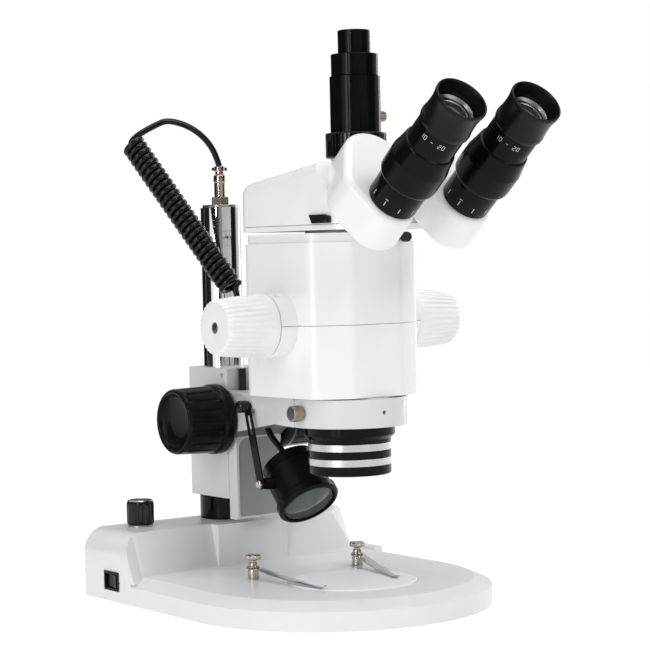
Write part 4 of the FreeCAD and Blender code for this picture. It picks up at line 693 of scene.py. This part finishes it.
def coil_route(turns=28, per_turn=16):
    u, v, n = axes_about(COIL_END - COIL_START)
    length = (COIL_END - COIL_START).length
    radius = COIL_RADIUS / math.cos(math.pi / per_turn)
    points = []
    for i in range(turns * per_turn + 1):
        t = i / (turns * per_turn)
        a = 2 * math.pi * t * turns + COIL_PHASE
        grow = min(1, 0.8 + 0.4 * min(t, 1 - t) * turns)
        spot = COIL_START + n * (COIL_MARGIN + t * (length - 2 * COIL_MARGIN))
        points.append(spot + (u * math.cos(a) + v * math.sin(a)) * radius * grow)
    return points


def eased(route, joins, reach=7, passes=14):
    """Relaxes the points about each join, which softens the kink there but does not remove it."""
    for _ in range(passes):
        for join in joins:
            for i in range(join - 3, join + reach):
                route[i] = 0.5 * route[i] + 0.25 * (route[i - 1] + route[i + 1])
    return route


def lamp_cord():
    coil = coil_route()
    route = eased([Vector(p) for p in LEAD] + coil + [Vector(p) for p in TAIL],
                  (len(LEAD), len(LEAD) + len(coil) - 4))
    data = bpy.data.curves.new("lamp_cord", "CURVE")
    data.dimensions = "3D"
    spline = data.splines.new("NURBS")
    spline.points.add(len(route) - 1)
    for point, spot in zip(spline.points, route):
        point.co = (*(spot * MM), 1)
    spline.order_u = 3
    spline.use_endpoint_u = True
    spline.resolution_u = 4
    data.bevel_depth, data.bevel_resolution = CORD_DIAMETER / 2 * MM, 5
    data.use_fill_caps = True
    cord = bpy.data.objects.new("lamp_cord", data)
    bpy.context.scene.collection.objects.link(cord)
    data.materials.append(skin("cord"))
    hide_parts("cord_lead", "cord_coil", "cord_tail")
    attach(cord, "base")


def lamp_inside():
    """Pale board and bright ring behind the lamp's lens."""
    at = axis_foot("lamp_tilt", RIGHT)
    lathe("lamp_reflector", [(0, 9.2), (20, 9.2), (20.2, 14.6), (19.6, 14.6), (18.6, 10.6),
                             (0, 10.4)], at, LAMP_WAY, "lamp", "lamp_black",
          paint("lamp board", (0.26, 0.30, 0.28), 0.5, grain=30, tone=0.1), steps=96)
    lathe("lamp_inner_ring", [(19.0, 15.2), (20.6, 15.2), (20.6, 18.2), (20.2, 18.2)], at,
          LAMP_WAY, "lamp", "lamp_black", paint("lamp ring", (0.72, 0.74, 0.66), 0.3, grain=100),
          steps=96)


def block_piece(name, low, high, body, slot, mat=None):
    spots = [(x, y, z) for z in (low[2], high[2]) for x, y in
             ((low[0], low[1]), (high[0], low[1]), (high[0], high[1]), (low[0], high[1]))]
    finish_piece(name, mesh_from(name, [Vector(v) * MM for v in spots], BOX_FACES), body, slot,
                 mat)


def sheet_piece(name, outline, hole, depths, axis, body, slot, bevel, swaps=()):
    """Flat plate with one hole; both outlines have the same number of points."""
    verts, faces, n = [], [], len(outline)
    for depth in depths:
        for a, b in list(outline) + list(hole):
            spot = {"x": (depth, a, b), "y": (a, depth, b)}[axis]
            verts.append(Vector(spot) * MM)
    for i in range(n):
        j = (i + 1) % n
        faces += [(i, j, n + j, n + i), (2 * n + i, 2 * n + j, 3 * n + j, 3 * n + i),
                  (i, j, 2 * n + j, 2 * n + i), (n + i, n + j, 3 * n + j, 3 * n + i)]
    piece = finish_piece(name, mesh_from(name, verts, faces), body, slot, swaps=swaps)
    soften_edges(piece, bevel, 50, segments=2, harden=False)


def lozenge(start, end, half, around=10):
    """Points of a round-ended bar from start to end, going once round."""
    way = (Vector(end) - Vector(start)).normalized()
    lead = math.atan2(way.y, way.x)
    points = []
    for middle, turn in ((end, lead - math.pi / 2), (start, lead + math.pi / 2)):
        for i in range(around + 1):
            a = turn + math.pi * i / around
            points.append((middle[0] + half * math.cos(a), middle[1] + half * math.sin(a)))
    return points


def lamp_hanger():
    """Slotted bar that the lamp hangs from, drawn in the YZ plane."""
    pivot, screw = joint_at["lamp_swing"].yz, joint_at["lamp_tilt"].yz
    way = (screw - pivot).normalized()
    bar_half, slot_half, slot_from, slot_to = 4.2, 2.0, 9.0, 21.0
    slot = lozenge(pivot + way * slot_from, pivot + way * slot_to, slot_half)
    sheet_piece("lamp_link_bar", lozenge(pivot, screw, bar_half), slot, (-34.9, -33.6), "x",
                "link", "lamp_black", bevel=0.25, swaps=("lamp_link",))


def arm_panel():
    """Thin rim on the front of the arm's slide plate, and a sunk panel inside it painted dark grey
    as painted shade for the recess.
    """
    outer, inner, foot_round = [], [], 1.5
    for half, top, low, round_by, out in ((21.0, 123.4, 58.2, 1.5, outer),
                                          (18.6, 121.8, 59.8, 8.0, inner)):
        for cx, cz, first in ((half - round_by, top - round_by, 0),
                              (-half + round_by, top - round_by, 90),
                              (-half + foot_round, low + foot_round, 180),
                              (half - foot_round, low + foot_round, 270)):
            r = round_by if first < 180 else foot_round
            for i in range(7):
                a = math.radians(first + 15 * i)
                out.append((cx + r * math.cos(a), cz + r * math.sin(a)))
    sheet_piece("arm_panel_rim", outer, inner, (122.2, 123.4), "y", "arm", "arm_paint",
                bevel=0.3)
    # The sunk panel is a thin sheet whose dark grey paint is painted shade for the recess under the
    # arm.
    block_piece("arm_panel_painted_shade", (-19, 122.85, 59.4), (19, 123.3, 122.4), "arm", "arm_paint",
                paint("sunk panel painted shade", (0.34, 0.35, 0.355), 0.36, grain=80, tone=0.03))


def base_sides():
    """Blocks that cover the groove the CAD shoulder leaves under the rear housing's ends."""
    for name, low, high in (("front", (-121.02, 121.8, 12.8), (-113, 138.4, 22.4)),
                            ("rear", (-121.02, 161.6, 12.8), (-113, 190.6, 22.4)),
                            ("right", (113, 121.8, 12.8), (121.0, 190.6, 22.4))):
        block_piece(f"base_end_{name}", low, high, "base", "base_paint")


def collar_print():
    radius = 24.0
    dark = paint("dark print", (0.12, 0.12, 0.12), 0.6)
    marks = [bar(-0.22, 55.2, 0.4, 8.6, radius), bar(-0.58, 55.0, 17.5, 0.4, radius)]
    marks += digit("1", -0.42, 58.6, 1.3, 2.4, radius, 0.35)
    marks += digit("0", -0.51, 58.6, 1.3, 2.4, radius, 0.35)
    patch("zoom_scale_print", marks, radius, joint_at["zoom_turn"], LEFT, "pod", dark)


SOFT_EDGES = {  # node: width of its rounded edges, and the angle an edge must pass in degrees
    "base_shell": (1.6, 15), "ring_arm": (1.0, 30), "focus_block": (0.9, 30),
    "zoom_body_lower": (0.5, 35), "zoom_body_upper": (0.9, 30), "head_base": (0.5, 40),
    "head_shell": (1.2, 30), "left_prism_box": (0.3, 40), "right_prism_box": (0.3, 40),
    "stage_plate": (0.4, 30), "stop_collar": (0.6, 30), "lamp_housing": (0.4, 30),
    "lamp_bezel": (0.5, 30), "lamp_pivot_knob": (0.6, 30), "objective_barrel": (0.4, 30),
    "objective_bands": (0.15, 30), "lamp_socket": (0.4, 30), "lamp_plug": (0.25, 30),
    "photo_port_tube": (0.5, 30), "photo_port_adapter": (0.5, 30), "switch_bezel": (0.4, 30),
    "switch_rocker": (0.3, 30), "light_path_lever": (0.3, 30), "mains_inlet": (0.3, 30),
    "rubber_feet": (0.3, 30), "pillar_cap": (0.3, 30), "lamp_tilt_screw": (0.3, 30),
}


def build():
    """The pieces that stand in for CAD nodes come first; then every node still shown is dressed."""
    zoom_knobs()
    focus_knobs()
    dimmer_knob()
    small_knobs()
    stage_clips()
    eyepieces()
    lamp_inside()
    collar_print()
    lamp_hanger()
    arm_panel()
    base_sides()
    for node in sorted(nodes):
        if node.startswith("cord_") or nodes[node].hide_render:
            continue
        dress(node, *SOFT_EDGES.get(node, ()))
    lamp_cord()


add_camera()
add_studio()
build()
